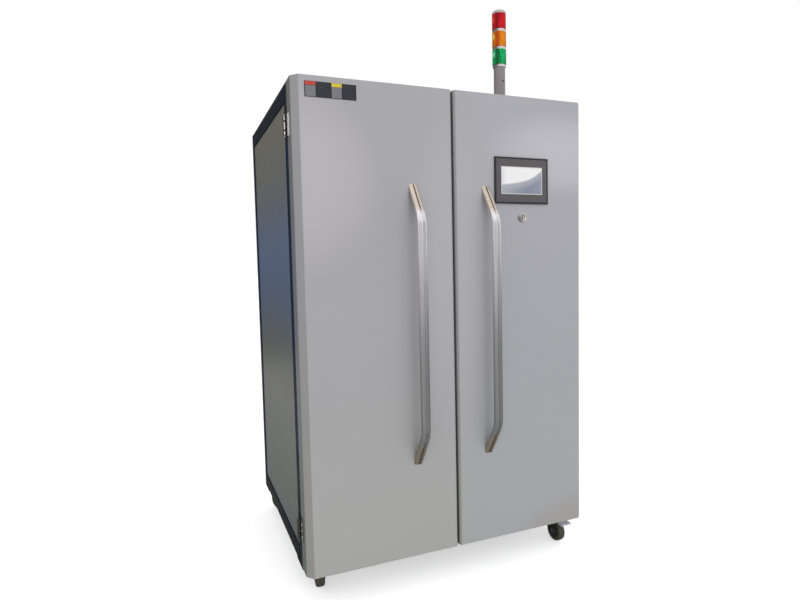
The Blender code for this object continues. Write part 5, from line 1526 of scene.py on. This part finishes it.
CORE_HALF, YOKE = 30, 45
low, high = box("transformer")
centre = middle("transformer")
pitch = (high.x - low.x) / 3
front, rear = centre.y - CORE_HALF, centre.y + CORE_HALF
core = [
    block((low.x, front, low.z), (high.x, rear, low.z + YOKE)),
    block((low.x, front, high.z - YOKE), (high.x, rear, high.z))]
coils, bands, clamps = [], [], []
for x in (centre.x - pitch, centre.x, centre.x + pitch):
    core.append(block((x - 18, front, low.z + YOKE - 2), (x + 18, rear, high.z - YOKE + 2)))
    coils.append(block(
        (x - 29.5, low.y + 1, low.z + YOKE + 6), (x + 29.5, high.y - 1, high.z - YOKE - 6), 12, 5))
    bands += [
        block((x - 30, low.y, z), (x + 30, high.y, z + 8), 3.6, 3)
        for z in (low.z + YOKE + 4, high.z - YOKE - 12)]
bolts = (low.x + 12, centre.x - pitch / 2, centre.x + pitch / 2, high.x - 12)
clamp_sides = ((front - 4, front, "-Y"), (rear, rear + 4, "Y"))
for z, (y0, y1, axis) in product((low.z + 12, high.z - 28), clamp_sides):
    clamps.append(block((low.x, y0, z), (high.x, y1, z + 18), 0.8))
    clamps += [hex_head((x, y0 if axis == "-Y" else y1, z + 9), axis, 6, 4) for x in bolts]
dress("transformer", "transformer_core", lamination, *core)
add("transformer", "transformer_coils", copper, *coils)
add("transformer", "transformer_coil_tape", tape, *bands)
add("transformer", "transformer_clamps", zinc, *clamps)
add(
    "transformer", "transformer_terminals", black_plastic,
    block((centre.x - 75, centre.y - 14, high.z - 0.5), (centre.x + 75, centre.y + 14, high.z + 12), 2),
    *[block((x - 1, centre.y - 14.5, high.z + 6), (x + 1, centre.y + 14.5, high.z + 18), 0.6)
      for x in (centre.x - 71 + 18 * wall for wall in range(9))])


# Power controller

FINS = 7
low, high = box("power_controller")
pitch = (high.x - low.x) / FINS
fins = [block((low.x, low.y + 48, low.z + 12), (high.x, high.y, high.z - 12))]
for x in (low.x + (fin + 0.5) * pitch for fin in range(FINS)):
    fins.append(block((x - 2.4, low.y, low.z + 12), (x + 2.4, low.y + 50, high.z - 12), 0.8))
dress("power_controller", "power_controller_heat_sink", leaf_steel, *fins)
add(
    "power_controller", "power_controller_covers", black_plastic,
    block((low.x, low.y + 4, low.z), (high.x, high.y, low.z + 14), 2),
    block((low.x, low.y + 4, high.z - 14), high, 2))


# Main breaker: a case around the lever's slot

low, high = box("main_breaker")
centre = middle("main_breaker")
slot_x0, slot_x1 = centre.x - 8, centre.x + 8
slot_z0, slot_z1 = centre.z - 20, centre.z + 20
case = [
    (low.x, high.x, 12, low.z, low.z + 30, 2), (low.x, high.x, 12, high.z - 30, high.z, 2),
    (low.x, slot_x0, 6, low.z + 24, high.z - 24, 2), (slot_x1, high.x, 6, low.z + 24, high.z - 24, 2),
    (slot_x0 - 3, slot_x1 + 3, 6, low.z + 24, slot_z0, 2),
    (slot_x0 - 3, slot_x1 + 3, 6, slot_z1, high.z - 24, 2),
    (slot_x0 - 3, slot_x1 + 3, 22, slot_z0 - 2, slot_z1 + 2, 0)]
dress(
    "main_breaker", "main_breaker_case", black_plastic,
    *[block((x0, low.y + depth, z0), (x1, high.y, z1), radius) for x0, x1, depth, z0, z1, radius in case])
add(
    "main_breaker", "main_breaker_front", grey_plastic,
    window(
        (low.x + 8, high.x - 8, low.z + 34, high.z - 34), (slot_x0, slot_x1, slot_z0, slot_z1),
        low.y, low.y + 8, 1))
add(
    "main_breaker", "main_breaker_terminal_screws", zinc,
    *screws(
        product((centre.x - 28, centre.x, centre.x + 28), (low.y + 12,), (low.z + 14, high.z - 14)),
        "-Y", 6, 3))
keep("breaker_lever", white_plastic, 0.8)


# Fan

BLADES, BLADE_STEPS = 5, 6
HUB_RADIUS, TIP_RADIUS = 18, 52.5
GUARD_REACH = 74.2
AEROFOIL = [(-1, 0), (-0.5, 0.11), (0, 0.15), (0.5, 0.11), (1, 0), (0.5, 0.02), (0, 0.05), (-0.5, 0.02)]
keep("fan_housing", black_plastic, 0.6)
low, high = box("fan_rotor")
hub_spot = Vector((fan.x, (low.y + high.y) / 2, fan.z))


def blade(turn):
    """A swept blade, twisted flatter toward its tip."""
    rings = []
    for share in (step / BLADE_STEPS for step in range(BLADE_STEPS + 1)):
        radius = HUB_RADIUS + (TIP_RADIUS - HUB_RADIUS) * share
        chord = 13 + 10 * share
        pitch = Matrix.Rotation(math.radians(48 - 20.4 * share), 2)
        sweep = Matrix.Rotation(0.1 * share * share, 3, "Y")
        points = []
        for along, lift in AEROFOIL:
            x, y = pitch @ Vector((along * chord * 0.55, lift * chord))
            points.append(sweep @ Vector((x, y, math.sqrt(radius ** 2 - x ** 2))))
        rings.append(points)
    return moved([skin(rings)], Matrix.Translation(hub_spot) @ Matrix.Rotation(turn, 4, "Y"))


def behind(depth):
    """A point on the fan's axis behind the rear panel."""
    return Vector((fan.x, back + depth, fan.z))


dress(
    "fan_rotor", "fan_rotor_blades", black_plastic, rod(20, high.y - low.y, hub_spot, "Y", 40, 2),
    *[form for turn in around(BLADES) for form in blade(turn)])
guard = [
    tube([orbit(behind(4.6), radius, turn, "XZ") for turn in around(40)], 0.9, 8, loop=True)
    for radius in range(12, 53, 10)]
for turn in around(4, 0.5):
    spoke = ((3, 12), (3, 55), (1.2, GUARD_REACH))
    guard.append(tube([orbit(behind(depth), radius, turn, "XZ") for depth, radius in spoke], 1.2, 8))
    guard.append(ring(2.4, 4.8, 0, 1.6, orbit(behind(0), GUARD_REACH, turn, "XZ"), "Y", 24, 0.4))
add("fan_housing", "fan_guard", zinc, *guard)
add(
    "fan_housing", "fan_guard_screws", zinc,
    *screws([orbit(behind(1.4), GUARD_REACH, turn, "XZ") for turn in around(4, 0.5)], "Y", 4.2, 2.6))


# Cable gland

gland.y = back
ribs = []
for turn in around(18):
    rib = block((13.6, 7, -0.8), (14.8, 15, 0.8), 0.3)
    ribs += moved([rib], Matrix.Translation(gland) @ Matrix.Rotation(turn, 4, "Y"))
dress(
    "cable_gland", "cable_gland_body", black_plastic,
    lathe([(9, -14), (12.2, -14), (12.5, -13), (12.5, 0.4), (9, 0.4)], gland, "Y", 40),
    lathe([(9, 0), (16.5, 0), (17, 0.6), (17, 5.4), (16, 6), (9, 6)], gland, "Y", 6),
    lathe([
        (9, 5.5), (14.5, 5.5), (14.5, 15), (13.8, 20.5), (12, 24), (10, 26.2), (9, 26.2)], gland, "Y", 40),
    *ribs)


# Stage, light and camera

def card(name, corners):
    """A flat piece of the stage and its node tree."""
    mesh = bpy.data.meshes.new(name)
    mesh.from_pydata(corners, [], [(0, 1, 2, 3)])
    obj = bpy.data.objects.new(name, mesh)
    scene.collection.objects.link(obj)
    material = bpy.data.materials.new(name + "_finish")
    mesh.materials.append(material)
    tree = Nodes(material)
    tree.set({"Specular IOR Level": 0})
    return obj, tree


def floor(size, seen_level, bounce_level, lift):
    """A floor that looks white to the camera and lights the set more softly."""
    tree = card("studio_floor", [(x, y, 0) for x, y in rectangle(-size, size, -size, size)])[1]
    inputs = tree.shader.inputs
    path = tree.new("ShaderNodeLightPath")
    seen = tree.math("MAXIMUM", path.outputs["Is Camera Ray"], path.outputs["Is Transmission Ray"])
    tree.link(tree.span(seen, bounce_level, seen_level, 0, 1), inputs["Base Color"])
    tree.link(tree.times(seen, lift), inputs["Emission Strength"])
    tree.set({"Emission Color": (1, 1, 1, 1), "Roughness": 0.9})


def flag(name, y, outline, level):
    """A card beside the set that only shows in glossy surfaces."""
    obj, tree = card(name, [(x, y, z) for x, z in rectangle(*outline)])
    tree.set({
        "Base Color": (0, 0, 0, 1), "Emission Color": (*level, 1), "Emission Strength": 1})
    obj.visible_camera = False
    obj.visible_diffuse = False
    obj.visible_shadow = False
    obj.visible_transmission = False


def area_light(name, spot, aim, size, power):
    """A round lamp that neither the camera nor a reflection shows."""
    data = bpy.data.lights.new(name, "AREA")
    data.shape = "DISK"
    data.size = size
    data.energy = power
    obj = bpy.data.objects.new(name, data)
    obj.location = spot
    obj.rotation_euler = (Vector(aim) - Vector(spot)).to_track_quat("-Z", "Y").to_euler()
    obj.visible_camera = False
    obj.visible_glossy = False
    scene.collection.objects.link(obj)


def studio_world():
    """White to the camera, to reflections and through glass, and a little darker as a light."""
    scene.world = bpy.data.worlds.new("studio")
    tree = Nodes(scene.world)
    path = tree.new("ShaderNodeLightPath")
    seen = tree.math("MAXIMUM", path.outputs["Is Camera Ray"], path.outputs["Is Glossy Ray"])
    clear = tree.math("MAXIMUM", seen, path.outputs["Is Transmission Ray"])
    background = tree.tree.nodes["Background"]
    background.inputs["Color"].default_value = (1, 1, 1, 1)
    tree.link(tree.span(clear, 0.70, 1, 0, 1), background.inputs["Strength"])


floor(60, 0.96, 0.60, 0.50)
flag("rear_left_flag", 4, (-5, -0.7, -1, 5), (0.05, 0.055, 0.06))
flag("front_card", -6, (-6, 5, 0.2, 4), (0.6, 0.6, 0.6))
studio_world()
area_light("key_light", (-0.1, -6.2, 3.3), (0, -0.3, 0.9), 1.6, 36)
area_light("fill_light", (-0.2, -6.5, 4.2), (0, -0.3, 0.9), 8.0, 116)

camera_data = bpy.data.cameras.new("camera")
camera = bpy.data.objects.new("camera", camera_data)
scene.collection.objects.link(camera)
camera.location = (-0.80942, -1.93516, 1.01168)
camera.rotation_euler = tuple(math.radians(angle) for angle in (86.1787, 1.2913, -21.9166))
camera_data.lens = 25.306
camera_data.sensor_width = 36
scene.camera = camera
scene.view_settings.view_transform = "Standard"
